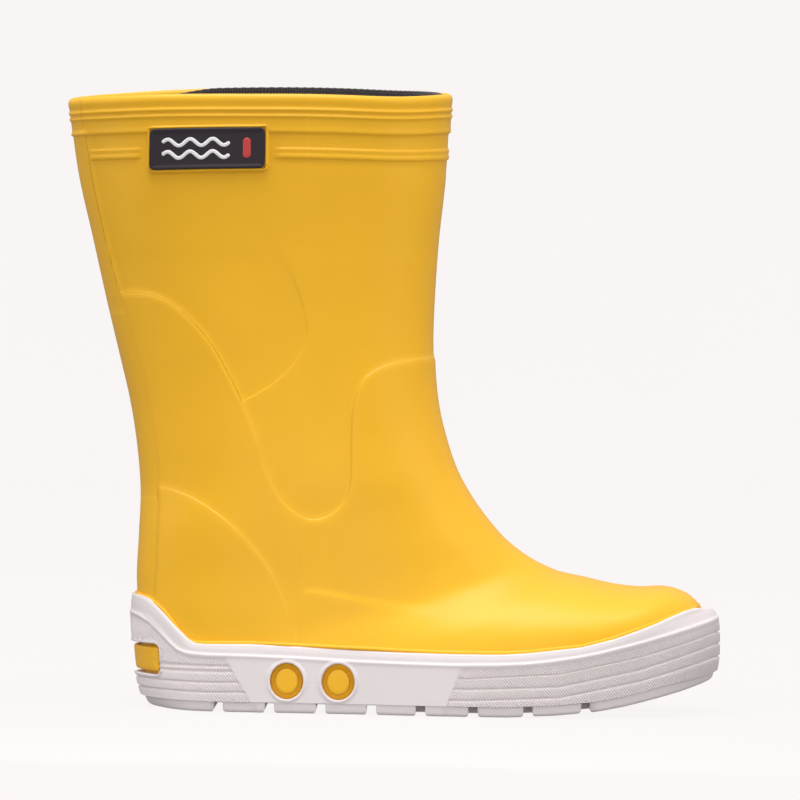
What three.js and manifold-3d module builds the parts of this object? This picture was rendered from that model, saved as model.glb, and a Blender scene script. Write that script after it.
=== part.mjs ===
// Child's moulded deck boot, right foot. Millimetres, +X toe, +Y inner side of the foot, +Z up.
// While it is being built, x runs forward from the back of the heel and z up from the floor.
// The last step moves the whole boot so that its box stands centred over the origin.

import * as THREE from 'three';
import { mergeVertices } from 'three/addons/utils/BufferGeometryUtils.js';
import Module from 'manifold-3d';

const wasm = await Module();
wasm.setup();

// ---------------------------------------------------------------- driving dimensions
const GAP = 0.3; // clear space between neighbouring pieces
const SHELL_WALL = 2.2;
const LINING_WALL = 1.2;
const COLUMNS = 40; // points round one section of the leg

// Section planes from the rim down to the toe. Each plane holds the y axis direction and runs from
// a back point to a front point, both (x, z). half is its half width, wide says how far along the
// plane from the back point that width lies, square is 2 for an ellipse and more for a squarer end.
const SECTIONS = [
  { front: [103.7, 202.4], back: [-22.0, 199.6], half: 36.4, wide: 0.5, square: [2.15, 2.15] },
  { front: [102.7, 177.2], back: [-18.3, 175.8], half: 35.4, wide: 0.5, square: [2.15, 2.15] },
  { front: [101.0, 155.0], back: [-13.2, 154.6], half: 34.5, wide: 0.5, square: [2.15, 2.15] },
  { front: [99.9, 134.0], back: [-8.3, 134.0], half: 33.6, wide: 0.5, square: [2.15, 2.15] },
  { front: [99.7, 118.0], back: [-4.0, 117.0], half: 32.9, wide: 0.5, square: [2.15, 2.15] },
  { front: [101.3, 103.0], back: [0.0, 100.8], half: 32.4, wide: 0.5, square: [2.15, 2.15] },
  { front: [104.4, 91.0], back: [2.6, 85.5], half: 32.0, wide: 0.49, square: [2.15, 2.15] },
  { front: [109.0, 79.0], back: [3.9, 71.0], half: 31.6, wide: 0.48, square: [2.15, 2.15] },
  { front: [115.6, 67.8], back: [3.6, 57.0], half: 30.6, wide: 0.43, square: [2.25, 2.15] },
  { front: [123.8, 58.2], back: [3.2, 40.0], half: 29.6, wide: 0.41, square: [2.25, 2.15] },
  { front: [130.3, 53.0], back: [5.8, 23.0], half: 29.2, wide: 0.34, square: [2.35, 2.2] },
  { front: [136.4, 49.4], back: [13.0, 10.8], half: 29.3, wide: 0.34, square: [2.7, 2.2] },
  { front: [143.2, 46.4], back: [40.0, 8.6], half: 30.6, wide: 0.37, square: [2.6, 2.2] },
  { front: [152.0, 44.5], back: [72.0, 8.0], half: 33.2, wide: 0.4, square: [2.7, 2.2] },
  { front: [161.0, 42.6], back: [102.0, 8.0], half: 34.7, wide: 0.38, square: [2.9, 2.2] },
  { front: [170.0, 41.6], back: [130.0, 8.8], half: 34.3, wide: 0.37, square: [3.0, 2.2] },
  { front: [178.6, 41.5], back: [152.0, 11.2], half: 31.3, wide: 0.38, square: [3.0, 2.3] },
  { front: [184.6, 39.8], back: [168.0, 14.8], half: 25.8, wide: 0.4, square: [2.8, 2.4] },
  { front: [188.6, 37.4], back: [180.0, 19.0], half: 19.8, wide: 0.45, square: [2.5, 2.5] },
  { front: [190.9, 34.4], back: [187.2, 23.0], half: 13.4, wide: 0.5, square: [2.3, 2.5] },
  { front: [192.0, 31.4], back: [191.2, 26.6], half: 6.0, wide: 0.5, square: [2.1, 2.2] },
];
const LAST = SECTIONS.length - 1;
// Raised vamp and heel quarter: they stand out from the leg below this side-view line, (x, z).
const OVERLAY_OUT = 0.5;
const OVERLAY_LINE = [[-40, 135], [3, 136], [12, 134], [21, 127], [29.5, 116.7], [36, 104.6], [41.5, 92.5],
  [45.5, 79.6], [50.5, 69.6], [55, 65.3], [60.5, 63], [66.4, 64.2], [71, 68], [73.4, 75], [73.4, 95],
  [75, 105], [79.5, 111.2], [88, 114.8], [99.6, 116.6], [140, 117.5]];
// Heel counter, raised a little more, and the plain front of the leg, raised a little less.
const COUNTER_OUT = 0.9;
const COUNTER_LINE = [[-40, 75], [4, 74], [12.4, 72.5], [23.1, 68.9], [34.6, 61.2], [43.7, 51.9], [49.9, 42.3],
  [53.2, 33], [54.9, 26]];
const COUNTER_FOOT = [[54.9, 24.2], [26, 24.4], [19, 29.5], [14.5, 35], [9, 39.6], [-40, 43]];
const LEG_FRONT_OUT = 0.3;
const LEG_FRONT_LINE = [[31.5, 181], [31.5, 178], [34.7, 171.4], [43.9, 156.9], [51.3, 145.7], [56.1, 134.9],
  [58.5, 124.4], [55.4, 114.8], [47.1, 106.4], [38, 101], [45, 60], [140, 60], [140, 181]];
const RIM_RISE = { lateral: -1.2, medial: 6.2, fromZ: 120, toZ: 200 }; // inner side of the rim is higher

// Collar profile: [distance below the rim, how far it stands out from the leg].
const COLLAR = [
  [0, -0.9], [0.35, 0.1], [1.1, 0.7], [3.0, 0.7], [3.6, 0.4], [4.3, 0.85], [5.0, 0.45],
  [5.9, 0.45], [6.6, 0.85], [7.4, 0.45], [11.6, 0.6], [12.3, 0],
];
const LOWER_BAND = [[16.6, 0], [17.2, 0.4], [18.0, 0.4], [18.6, 0.1], [19.2, 0.4], [20.0, 0.4], [20.6, 0]];
const BAND_STOPS = { stay: -10, badgeFrom: 2, badgeTo: 49 }; // x where the lower band fades out
// Section numbers at which rings are set: down the leg, round the foot, and for the inner skins.
const LEG_STOPS = [2, 3, 4, 5];
const HIGH_STOPS = [0.7, 1.3];
const FOOT_STOPS = [5.8, 6.6, 7.4, 8.2, 9, 9.7, 10.4, 11, 11.6, 12.3, 13.1, 14, 15, 16, 16.8, 17.5,
  18.2, 19, 20];
const SKIN_STOPS = [0.12, 1.5, 3, 5, 6.6, 8.2, 9.7, 10.4, 11, 11.6, 12.3, 13.1, 14, 15, 16, 17, 18.2, 19, 20];

// Outsole: half outline seen from below, (x, half width), and its heights along the foot, (x, z).
const SOLE_OUTLINE = [
  [0.3, 0], [1.4, 7], [4.6, 14.2], [10, 21], [20, 27.8], [35, 31.5], [55, 32.1], [75, 33.3], [95, 35.7],
  [115, 37.8], [135, 38.2], [152, 36.8], [167, 33.2], [179, 27.6], [187.5, 20.4], [193.6, 11.4], [196.2, 0],
];
const SOLE_BOTTOM = [[0, 0], [125, 0], [141, 0.8], [154, 2], [163, 3.6], [170, 5.2], [182, 8.1], [197, 12.1]];
const SOLE_BEAD = [[0, 31], [4.5, 29.9], [8, 28.1], [12.5, 24.1], [16, 21], [20, 18.9], [26, 18.4],
  [42, 18.2], [58, 17.7], [75, 17], [123, 16.9], [139, 18.2], [155, 20.9], [168, 24.1], [182, 27.9], [197, 31.8]];
const SOLE_TOP = [[0, 36.9], [5, 36.4], [9.5, 34.8], [14, 31], [18, 26.1], [21.3, 22.8], [24.5, 21.8],
  [42, 22.1], [58, 21.5], [75, 20.7], [107, 20.1], [123, 20.2], [139, 21.6], [149, 22.8], [159, 25.3],
  [168.4, 28.5], [179, 32.2], [186, 34.2], [197, 36.2]];
const HEEL_BEVEL = { length: 26, depth: 5.6 };
const TOE_BEVEL = { from: 168, depth: 1.6 };
const TREAD = { width: 3.2, height: 3.3, notch: 12, at: [31.3, 48.2, 64.8, 81.2, 97.1, 114.1, 132, 150.9] };
const SOLE_STEPS = 48; // points along one side of the outline

const WINDOW = { width: 11.3, height: 12.5, z: 10.4, xs: [53.9, 70.6], depth: 2.5 };
const PLUG = { face: [7.8, 8.8], sunk: 0.35, domed: 0.3 };
const HEEL_WINDOW = { toX: 11, z: [11, 21.2], depth: 1.9, radius: 2 };
const INSERT_SUNK = 0.6;
const HEEL_WALL_INSET = 1.4; // how far the wall lies inside the outline at the height of the heel window

const BADGE = { x: [6.9, 44.2], z: [176.3, 189.8], tilt: 0.03, from: 1.1, thick: 1 };
const PAD = { margin: 1.2, out: 0.8 };

const INSOLE_TOP = [[-10, 17.6], [35, 17], [60, 16.2], [110, 15.7], [130, 16.4], [152, 18.9], [168, 22.6],
  [184, 28]];
const COVER_THICK = 0.9;
const INSOLE_END = 178;

const FOREFOOT_SWING = { from: 85, to: 196, amount: 4.2 }; // forefoot bends towards the inner side

// ---------------------------------------------------------------- materials
const paint = (color, roughness, metalness = 0) =>
  new THREE.MeshStandardMaterial({ color, roughness, metalness });
const YELLOW = paint('#e8ae32', 0.38);
const WHITE = paint('#e2d8d6', 0.5);
const LINING = paint('#2a2222', 0.95);
const FOAM = paint('#8f8d8a', 0.9);
const COVER = paint('#3a3436', 0.92);
const DARK = paint('#37303a', 0.4);
const PALE = paint('#f2eef0', 0.5);
const RED = paint('#c8403c', 0.45);

// ---------------------------------------------------------------- small helpers
const clamp01 = (t) => Math.min(1, Math.max(0, t));

function smooth(from, to, x) {
  const t = clamp01((x - from) / (to - from));
  return t * t * (3 - 2 * t);
}

// Catmull-Rom through a list of numbers at a fractional index.
function spline(list, at) {
  const i = Math.min(list.length - 2, Math.max(0, Math.floor(at)));
  const t = at - i;
  const b = list[i];
  const c = list[i + 1];
  const a = i > 0 ? list[i - 1] : 2 * b - c;
  const d = i + 2 < list.length ? list[i + 2] : 2 * c - b;
  const curve = 2 * b + (c - a) * t + (2 * a - 5 * b + 4 * c - d) * t * t + (3 * b - a - 3 * c + d) * t ** 3;
  return curve / 2;
}

// Straight-line reading of a [x, value] table.
function along(table, x) {
  if (x <= table[0][0]) return table[0][1];
  for (let i = 1; i < table.length; i += 1) {
    const [x1, v1] = table[i];
    const [x0, v0] = table[i - 1];
    if (x <= x1) return v0 + ((v1 - v0) * (x - x0)) / (x1 - x0);
  }
  return table[table.length - 1][1];
}

// ---------------------------------------------------------------- leg and foot surface
function section(u) {
  const read = (pick) => spline(SECTIONS.map(pick), u);
  return {
    front: [read((s) => s.front[0]), read((s) => s.front[1])],
    back: [read((s) => s.back[0]), read((s) => s.back[1])],
    half: read((s) => s.half),
    wide: read((s) => s.wide),
    square: [read((s) => s.square[0]), read((s) => s.square[1])],
  };
}

// Point of the leg surface: u runs down the sections, angle is 0 at the front, half a turn at the back.
function surface(u, angle) {
  const s = section(u);
  const c = Math.cos(angle);
  const power = 2 / (c < 0 ? s.square[0] : s.square[1]);
  const reach = Math.abs(c) ** power;
  const share = c < 0 ? s.wide * (1 - reach) : s.wide + (1 - s.wide) * reach;
  const side = Math.sin(angle);
  const y = -Math.sign(side) * s.half * Math.abs(side) ** power;
  const x = s.back[0] + (s.front[0] - s.back[0]) * share;
  let z = s.back[1] + (s.front[1] - s.back[1]) * share;
  const across = y / 36;
  const rise = (RIM_RISE.medial - RIM_RISE.lateral) / 2;
  const bow = (RIM_RISE.medial + RIM_RISE.lateral) / 2;
  z += smooth(RIM_RISE.fromZ, RIM_RISE.toZ, z) * (rise * across + bow * across * across);
  return new THREE.Vector3(x, y, z);
}

function normal(u, angle) {
  const h = 0.02;
  const du = surface(Math.min(LAST, u + h), angle).sub(surface(Math.max(0, u - h), angle));
  const da = surface(u, angle + h).sub(surface(u, angle - h));
  return da.cross(du).normalize();
}

const offsetPoint = (u, angle, offset) => surface(u, angle).addScaledVector(normal(u, angle), offset);

const angleAt = (column) => (2 * Math.PI * column) / COLUMNS;

// Section number lying a given distance below the rim, measured down the outer side of the leg.
const RIM_TO_FIRST = 24.6;
const belowRim = (distance) => distance / RIM_TO_FIRST;

// The lower band is broken by the badge and by the smooth strip down the back of the leg.
function bandShare(p) {
  const stay = smooth(BAND_STOPS.stay - 4, BAND_STOPS.stay + 2, p.x);
  if (p.y > 0) return stay;
  const badge = smooth(BAND_STOPS.badgeFrom - 3, BAND_STOPS.badgeFrom, p.x)
    - smooth(BAND_STOPS.badgeTo, BAND_STOPS.badgeTo + 3, p.x);
  return stay * (1 - badge);
}

// One ring of points round the leg.
function ring(u, offset) {
  return Array.from({ length: COLUMNS }, (_, i) => {
    const angle = angleAt(i);
    return offsetPoint(u, angle, typeof offset === 'function' ? offset(surface(u, angle)) : offset);
  });
}

// Closed body from rings of points, closed at both ends by fans.
function loft(rings) {
  const size = rings[0].length;
  const positions = rings.flat().flatMap((p) => [p.x, p.y, p.z]);
  const index = [];
  for (let r = 0; r < rings.length - 1; r += 1) {
    const a = r * size;
    const b = a + size;
    for (let i = 0; i < size; i += 1) {
      const j = (i + 1) % size;
      index.push(a + i, b + i, b + j, a + i, b + j, a + j);
    }
  }
  const fan = (points, base, flip) => {
    const centre = points.reduce((sum, p) => sum.add(p), new THREE.Vector3()).divideScalar(size);
    const tip = positions.length / 3;
    positions.push(centre.x, centre.y, centre.z);
    for (let i = 0; i < size; i += 1) {
      const j = (i + 1) % size;
      index.push(...(flip ? [tip, base + i, base + j] : [tip, base + j, base + i]));
    }
  };
  fan(rings[0], 0, true);
  fan(rings[rings.length - 1], (rings.length - 1) * size, false);
  return facingOut(geometryOf(positions, index));
}

function geometryOf(positions, index) {
  const geometry = new THREE.BufferGeometry();
  geometry.setAttribute('position', new THREE.Float32BufferAttribute(positions, 3));
  geometry.setIndex(index);
  return geometry;
}

// Turns a closed body the right way out if its faces look inwards.
function facingOut(geometry) {
  const p = geometry.getAttribute('position');
  const index = geometry.getIndex().array;
  const [a, b, c] = [new THREE.Vector3(), new THREE.Vector3(), new THREE.Vector3()];
  let volume = 0;
  for (let i = 0; i < index.length; i += 3) {
    a.fromBufferAttribute(p, index[i]);
    b.fromBufferAttribute(p, index[i + 1]);
    c.fromBufferAttribute(p, index[i + 2]);
    volume += a.dot(b.cross(c));
  }
  if (volume < 0) {
    for (let i = 0; i < index.length; i += 3) [index[i], index[i + 1]] = [index[i + 1], index[i]];
  }
  return geometry;
}

// ---------------------------------------------------------------- cutting and joining
function solid(geometry) {
  const bare = geometry.clone();
  bare.deleteAttribute('normal');
  bare.deleteAttribute('uv');
  const merged = mergeVertices(bare, 1e-5);
  return new wasm.Manifold(new wasm.Mesh({
    numProp: 3,
    vertProperties: new Float32Array(merged.getAttribute('position').array),
    triVerts: new Uint32Array(merged.getIndex().array),
  }));
}

function shapeOf(body) {
  const mesh = body.getMesh();
  return geometryOf(Array.from(mesh.vertProperties), Array.from(mesh.triVerts));
}

const boxSolid = (x0, x1, y0, y1, z0, z1) => solid(
  new THREE.BoxGeometry(x1 - x0, y1 - y0, z1 - z0).translate((x0 + x1) / 2, (y0 + y1) / 2, (z0 + z1) / 2),
);

// Side-view outline (x, z) pushed out along y between two values.
function prismAcross(outline, y0, y1) {
  const shape = new THREE.Shape(outline.map(([x, z]) => new THREE.Vector2(x, z)));
  const body = new THREE.ExtrudeGeometry(shape, { depth: y1 - y0, bevelEnabled: false });
  return solid(body.rotateX(Math.PI / 2).translate(0, y1, 0));
}

// Top-view outline (x, y) pushed up between two heights.
function prismUp(outline, z0, z1) {
  const shape = new THREE.Shape(outline.map(([x, y]) => new THREE.Vector2(x, y)));
  return solid(new THREE.ExtrudeGeometry(shape, { depth: z1 - z0, bevelEnabled: false }).translate(0, 0, z0));
}

// Whole boot shape as a plain filled body, grown by an offset.
const filledBoot = (stops, offset) => solid(loft(stops.map((u) => ring(u, offset))));

// ---------------------------------------------------------------- leg pieces
const lifted = (points, up) => points.map((p) => p.clone().add(new THREE.Vector3(0, 0, up)));

// Collar, lower band, leg and foot as one filled body, then the raised areas laid over it.
function upperOutside() {
  const rings = [
    ...COLLAR.map(([distance, out]) => ring(belowRim(distance), out)),
    ...LOWER_BAND.map(([distance, out]) => ring(belowRim(distance), (p) => out * bandShare(p))),
    ...[...LEG_STOPS, ...FOOT_STOPS].map((u) => ring(u, 0)),
  ];
  const raised = (stops, out, outline) => filledBoot(stops, out).intersect(prismAcross(outline, -60, 60));
  const below = [...LEG_STOPS, ...FOOT_STOPS];
  const vamp = raised(below, OVERLAY_OUT, [...OVERLAY_LINE, [240, 117.5], [240, -20], [-40, -20]]);
  const counter = raised(FOOT_STOPS, COUNTER_OUT, [...COUNTER_LINE, ...COUNTER_FOOT]);
  const front = raised([...HIGH_STOPS, ...below], LEG_FRONT_OUT, LEG_FRONT_LINE);
  return solid(loft(rings)).add(front).add(vamp).add(counter);
}

function upperShell() {
  const mouth = ring(0, -SHELL_WALL + 0.5);
  const inside = [lifted(mouth, 4), mouth, ...SKIN_STOPS.map((u) => ring(u, -SHELL_WALL))];
  const pad = solid(patch(padSpec(), -1, PAD.out));
  return shapeOf(upperOutside().add(pad).subtract(solid(loft(inside))));
}

function liningSock() {
  const outer = SKIN_STOPS.map((u) => ring(u, -(SHELL_WALL + GAP)));
  const inner = SKIN_STOPS.map((u) => ring(u, -(SHELL_WALL + GAP + LINING_WALL)));
  return shapeOf(solid(loft(outer)).subtract(solid(loft([lifted(inner[0], 4), ...inner]))));
}

// ---------------------------------------------------------------- insole
function insoleSlab(lower, upper) {
  const xs = [-20, 0, 35, 60, 85, 110, 130, 141, 152, 160, 168, INSOLE_END];
  const under = xs.map((x) => [x, lower(x)]);
  const over = xs.map((x) => [x, upper(x)]).reverse();
  const room = filledBoot(SKIN_STOPS.filter((u) => u >= 5), -(SHELL_WALL + LINING_WALL + 2 * GAP));
  return shapeOf(room.intersect(prismAcross([...under, ...over], -60, 60)));
}

const insoleTop = (x) => along(INSOLE_TOP, x);
const insoleFoam = () => insoleSlab(() => 0, insoleTop);
const insoleCover = () => insoleSlab((x) => insoleTop(x) + GAP, (x) => insoleTop(x) + GAP + COVER_THICK);

// ---------------------------------------------------------------- outsole
// Evenly spaced points of the half outline from the heel to the toe, each with its outward direction.
function soleEdge() {
  const whole = [
    ...SOLE_OUTLINE.map(([x, y]) => new THREE.Vector3(x, -y, 0)),
    ...SOLE_OUTLINE.slice(1, -1).reverse().map(([x, y]) => new THREE.Vector3(x, y, 0)),
  ];
  const curve = new THREE.CatmullRomCurve3(whole, true, 'centripetal');
  return Array.from({ length: SOLE_STEPS + 1 }, (_, i) => {
    const t = (0.5 * i) / SOLE_STEPS;
    const point = curve.getPointAt(t);
    const tangent = curve.getTangentAt(t);
    const end = i === 0 || i === SOLE_STEPS;
    const out = end ? new THREE.Vector3(i === 0 ? -1 : 1, 0, 0) : new THREE.Vector3(tangent.y, -tangent.x, 0);
    if (end) point.y = 0;
    return { point, out: out.normalize() };
  });
}
const SOLE_EDGE = soleEdge();

const heelShare = (x) => 1 - smooth(0, HEEL_BEVEL.length, x);
const toeShare = (x) => smooth(TOE_BEVEL.from, 195, x);

// Wall profile: height and how far the wall is set in from the outline.
const SOLE_ROWS = [
  { z: (x) => along(SOLE_BOTTOM, x), inset: 1.5, heel: 1, toe: 1 },
  { z: (x) => along(SOLE_BOTTOM, x) + 1.2, inset: 0.7, heel: 0.62, toe: 0.6 },
  { z: (x) => along(SOLE_BOTTOM, x) + 3.6, inset: 0.5, heel: 0.5, toe: 0.3 },
  { z: (x) => along(SOLE_BOTTOM, x) + 7, inset: 0.4, heel: 0.4, toe: 0 },
  { z: (x) => 0.5 * (along(SOLE_BOTTOM, x) + 7 + along(SOLE_BEAD, x)), inset: 0.3, heel: 0.18, toe: 0 },
  { z: (x) => along(SOLE_BEAD, x) - 0.8, inset: 0.25, heel: 0.03, toe: 0.3 },
  { z: (x) => along(SOLE_BEAD, x), inset: 0, heel: 0, toe: 0.5 },
  { z: (x) => along(SOLE_BEAD, x) + 0.8, inset: 0.4, heel: 0.04, toe: 0.7 },
  { z: (x) => along(SOLE_TOP, x), inset: 1.0, heel: 0.05, toe: 0.9 },
];

function soleRing(row, extra = 0) {
  const half = SOLE_EDGE.map(({ point, out }) => {
    const { x } = point;
    const inset = row.inset + extra + row.heel * HEEL_BEVEL.depth * heelShare(x)
      + row.toe * TOE_BEVEL.depth * toeShare(x);
    return point.clone().addScaledVector(out, -inset).setZ(row.z(x));
  });
  const mirrored = half.slice(1, -1).reverse().map((p) => new THREE.Vector3(p.x, -p.y, p.z));
  return [...half, ...mirrored];
}

// Outsole block before the foot is taken out of it: rings up the wall, strips across top and bottom.
function soleBlock() {
  const rings = SOLE_ROWS.map((row) => soleRing(row));
  const size = rings[0].length;
  const positions = rings.flat().flatMap((p) => [p.x, p.y, p.z]);
  const index = [];
  for (let r = 0; r < rings.length - 1; r += 1) {
    for (let i = 0; i < size; i += 1) {
      const j = (i + 1) % size;
      const [a, b] = [r * size, (r + 1) * size];
      index.push(a + i, a + j, b + j, a + i, b + j, b + i);
    }
  }
  const strip = (base, up) => {
    for (let i = 0; i < SOLE_STEPS; i += 1) {
      const near = [base + i, base + i + 1];
      const far = [base + ((size - i) % size), base + ((size - i - 1) % size)];
      const faces = [];
      if (near[1] !== far[1]) faces.push([near[0], near[1], far[1]]);
      if (near[0] !== far[0]) faces.push([near[0], far[1], far[0]]);
      if (near[1] === far[1]) faces.splice(0, faces.length, [near[0], near[1], far[0]]);
      for (const [p, q, s] of faces) index.push(...(up ? [p, q, s] : [p, s, q]));
    }
  };
  strip(0, false);
  strip((rings.length - 1) * size, true);
  return solid(facingOut(geometryOf(positions, index)));
}

// Grooves cut in from both sides of the tread, stopping at a spine along its middle.
function treadGrooves() {
  const spine = prismUp(outline2d(TREAD.notch), -5, 60);
  return TREAD.at.map((x) => {
    const z = along(SOLE_BOTTOM, x) + TREAD.height;
    const slot = boxSolid(x - TREAD.width / 2, x + TREAD.width / 2, -60, 60, -5, z);
    return slot.subtract(spine);
  });
}

// Oval bar lying along y.
function ovalBar(x, z, width, height, y0, y1, sides = 22) {
  const bar = new THREE.CylinderGeometry(0.5, 0.5, y1 - y0, sides);
  return bar.scale(width, 1, height).translate(x, (y0 + y1) / 2, z);
}

function wallAt(x) {
  const near = SOLE_EDGE.filter(({ point }) => Math.abs(point.x - x) < 3);
  return Math.max(...near.map(({ point }) => -point.y));
}

function outline2d(inset) {
  const half = SOLE_EDGE.map(({ point, out }) => point.clone().addScaledVector(out, -inset));
  const far = half.slice(1, -1).reverse().map((p) => [p.x, -p.y]);
  return [...half.map((p) => [p.x, p.y]), ...far];
}

// Rounded slab the size of the heel window, grown or shrunk by a margin.
function heelSlab(margin) {
  const [z0, z1] = [HEEL_WINDOW.z[0] - margin, HEEL_WINDOW.z[1] + margin];
  const x1 = HEEL_WINDOW.toX + margin;
  const r = HEEL_WINDOW.radius;
  const corner = (cz, from) => Array.from({ length: 5 }, (_, i) => {
    const a = from + (Math.PI / 8) * i;
    return [x1 - r + r * Math.cos(a), cz + r * Math.sin(a)];
  });
  return prismAcross([[-12, z0], ...corner(z0 + r, -Math.PI / 2), ...corner(z1 - r, 0), [-12, z1]], -50, 50);
}

function outsole() {
  let body = soleBlock().subtract(filledBoot(FOOT_STOPS, OVERLAY_OUT + GAP));
  for (const groove of treadGrooves()) body = body.subtract(groove);
  for (const x of WINDOW.xs) {
    const floor = wallAt(x) - WINDOW.depth;
    body = body.subtract(solid(ovalBar(x, WINDOW.z, WINDOW.width, WINDOW.height, -60, -floor)));
    body = body.subtract(solid(ovalBar(x, WINDOW.z, WINDOW.width, WINDOW.height, floor, 60)));
  }
  const core = prismUp(outline2d(HEEL_WINDOW.depth + HEEL_WALL_INSET), -5, 60);
  body = body.subtract(heelSlab(0).subtract(core));
  return shapeOf(body);
}

function heelInsert() {
  const outer = prismUp(outline2d(INSERT_SUNK + HEEL_WALL_INSET), -5, 60);
  const inner = prismUp(outline2d(HEEL_WINDOW.depth + HEEL_WALL_INSET - GAP), -5, 60);
  return shapeOf(heelSlab(-GAP).intersect(outer.subtract(inner)));
}

// Round button seated in a side window: a flange filling the window floor and a raised face.
function sidePlug(x, side) {
  const wall = wallAt(x);
  const floor = wall - WINDOW.depth + GAP;
  const face = wall - PLUG.sunk - PLUG.domed;
  const [w, h] = [WINDOW.width - 2 * GAP, WINDOW.height - 2 * GAP];
  const flange = ovalBar(x, WINDOW.z, w, h, floor, floor + 0.8);
  const boss = ovalBar(x, WINDOW.z, PLUG.face[0], PLUG.face[1], floor + 0.4, face - 0.4);
  const crown = ovalBar(x, WINDOW.z, PLUG.face[0] - 0.8, PLUG.face[1] - 0.8, floor + 0.4, face);
  const plug = solid(flange).add(solid(boss)).add(solid(crown));
  return shapeOf(side < 0 ? plug.mirror([0, 1, 0]) : plug);
}

// ---------------------------------------------------------------- badge
// Finds the leg surface under a side-view point (x, z) on the outer side of the boot.
function sideAddress(x, z) {
  const miss = (u) => {
    const { front, back } = section(u);
    return (front[0] - back[0]) * (z - back[1]) - (front[1] - back[1]) * (x - back[0]);
  };
  let [low, high] = [0, 8];
  for (let i = 0; i < 40; i += 1) {
    const middle = (low + high) / 2;
    if (miss(middle) > 0) high = middle;
    else low = middle;
  }
  const s = section(low);
  const share = (x - s.back[0]) / (s.front[0] - s.back[0]);
  const ahead = share >= s.wide;
  const q = ahead ? (share - s.wide) / (1 - s.wide) : (s.wide - share) / s.wide;
  const n = ahead ? s.square[1] : s.square[0];
  const c = clamp01(q) ** (n / 2);
  return { u: low, angle: ahead ? Math.acos(c) : Math.PI - Math.acos(c) };
}

function onSide(x, z, offset) {
  const { u, angle } = sideAddress(x, z);
  return offsetPoint(u, angle, offset);
}

// Sheet lying on the outer side of the leg: a grid of (x, z) points given as a function of (s, t).
function sheet(place, steps, from, to) {
  const [ns, nt] = steps;
  const layer = (offset) => {
    const points = [];
    for (let j = 0; j <= nt; j += 1) {
      for (let i = 0; i <= ns; i += 1) {
        const [x, z] = place(i / ns, j / nt);
        points.push(onSide(x, z, offset));
      }
    }
    return points;
  };
  const positions = [...layer(from), ...layer(to)].flatMap((p) => [p.x, p.y, p.z]);
  const stride = ns + 1;
  const half = stride * (nt + 1);
  const index = [];
  for (let j = 0; j < nt; j += 1) {
    for (let i = 0; i < ns; i += 1) {
      const [a, b] = [j * stride + i, (j + 1) * stride + i];
      index.push(a, b + 1, a + 1, a, b, b + 1);
      index.push(half + a, half + a + 1, half + b + 1, half + a, half + b + 1, half + b);
    }
  }
  const rim = [];
  for (let i = 0; i < ns; i += 1) rim.push(i);
  for (let j = 0; j < nt; j += 1) rim.push(j * stride + ns);
  for (let i = ns; i > 0; i -= 1) rim.push(nt * stride + i);
  for (let j = nt; j > 0; j -= 1) rim.push(j * stride);
  rim.forEach((a, k) => {
    const b = rim[(k + 1) % rim.length];
    index.push(a, b, half + b, a, half + b, half + a);
  });
  return facingOut(geometryOf(positions, index));
}

const tilted = (x, z) => z + BADGE.tilt * (x - BADGE.x[0]);

function padSpec() {
  const m = PAD.margin;
  return { x: [BADGE.x[0] - m, BADGE.x[1] + m], z: [BADGE.z[0] - m, BADGE.z[1] + m] };
}

function patch({ x, z }, from, to) {
  const place = (s, t) => {
    const px = x[0] + (x[1] - x[0]) * s;
    return [px, tilted(px, z[0] + (z[1] - z[0]) * t)];
  };
  return sheet(place, [10, 3], from, to);
}

const badgePlate = () => patch(BADGE, BADGE.from, BADGE.from + BADGE.thick);

// Plain raised wave line, a decoration of no make.
function badgeWave(height) {
  const [x0, x1] = [BADGE.x[0] + 4, BADGE.x[1] - 11];
  const place = (s, t) => {
    const x = x0 + (x1 - x0) * s;
    return [x, tilted(x, height + 1.0 * Math.sin(s * 6 * Math.PI) + 1.1 * (t - 0.5))];
  };
  const top = BADGE.from + BADGE.thick;
  return sheet(place, [30, 1], top + 0.1, top + 0.4);
}

function badgeBar() {
  const x0 = BADGE.x[1] - 7.5;
  const place = (s, t) => [x0 + 3.4 * s, tilted(x0 + 3.4 * s, BADGE.z[0] + 3.4 + 6.4 * t)];
  const top = BADGE.from + BADGE.thick;
  return sheet(place, [3, 3], top + 0.1, top + 0.4);
}

// ---------------------------------------------------------------- assembly
// Slight bend of the forefoot towards the inner side, the same for every piece.
function swing(geometry) {
  const p = geometry.getAttribute('position');
  for (let i = 0; i < p.count; i += 1) {
    const shift = FOREFOOT_SWING.amount * smooth(FOREFOOT_SWING.from, FOREFOOT_SWING.to, p.getX(i));
    p.setY(i, p.getY(i) + shift);
  }
  return geometry;
}

const group = new THREE.Group();
group.name = 'deck_boot_right';

function put(name, geometry, material) {
  const shape = swing(geometry);
  shape.computeVertexNormals();
  const mesh = new THREE.Mesh(shape, material);
  mesh.name = name;
  group.add(mesh);
}

put('upper_shell', upperShell(), YELLOW);
put('lining_sock', liningSock(), LINING);
put('insole_foam', insoleFoam(), FOAM);
put('insole_cover', insoleCover(), COVER);
put('outsole', outsole(), WHITE);
put('heel_insert', heelInsert(), YELLOW);
put('side_plug_outer_rear', sidePlug(WINDOW.xs[0], -1), YELLOW);
put('side_plug_outer_front', sidePlug(WINDOW.xs[1], -1), YELLOW);
put('side_plug_inner_rear', sidePlug(WINDOW.xs[0], 1), YELLOW);
put('side_plug_inner_front', sidePlug(WINDOW.xs[1], 1), YELLOW);
put('badge_plate', badgePlate(), DARK);
put('badge_wave_upper', badgeWave(BADGE.z[0] + 8.6), PALE);
put('badge_wave_lower', badgeWave(BADGE.z[0] + 4.6), PALE);
put('badge_bar', badgeBar(), RED);

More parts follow.
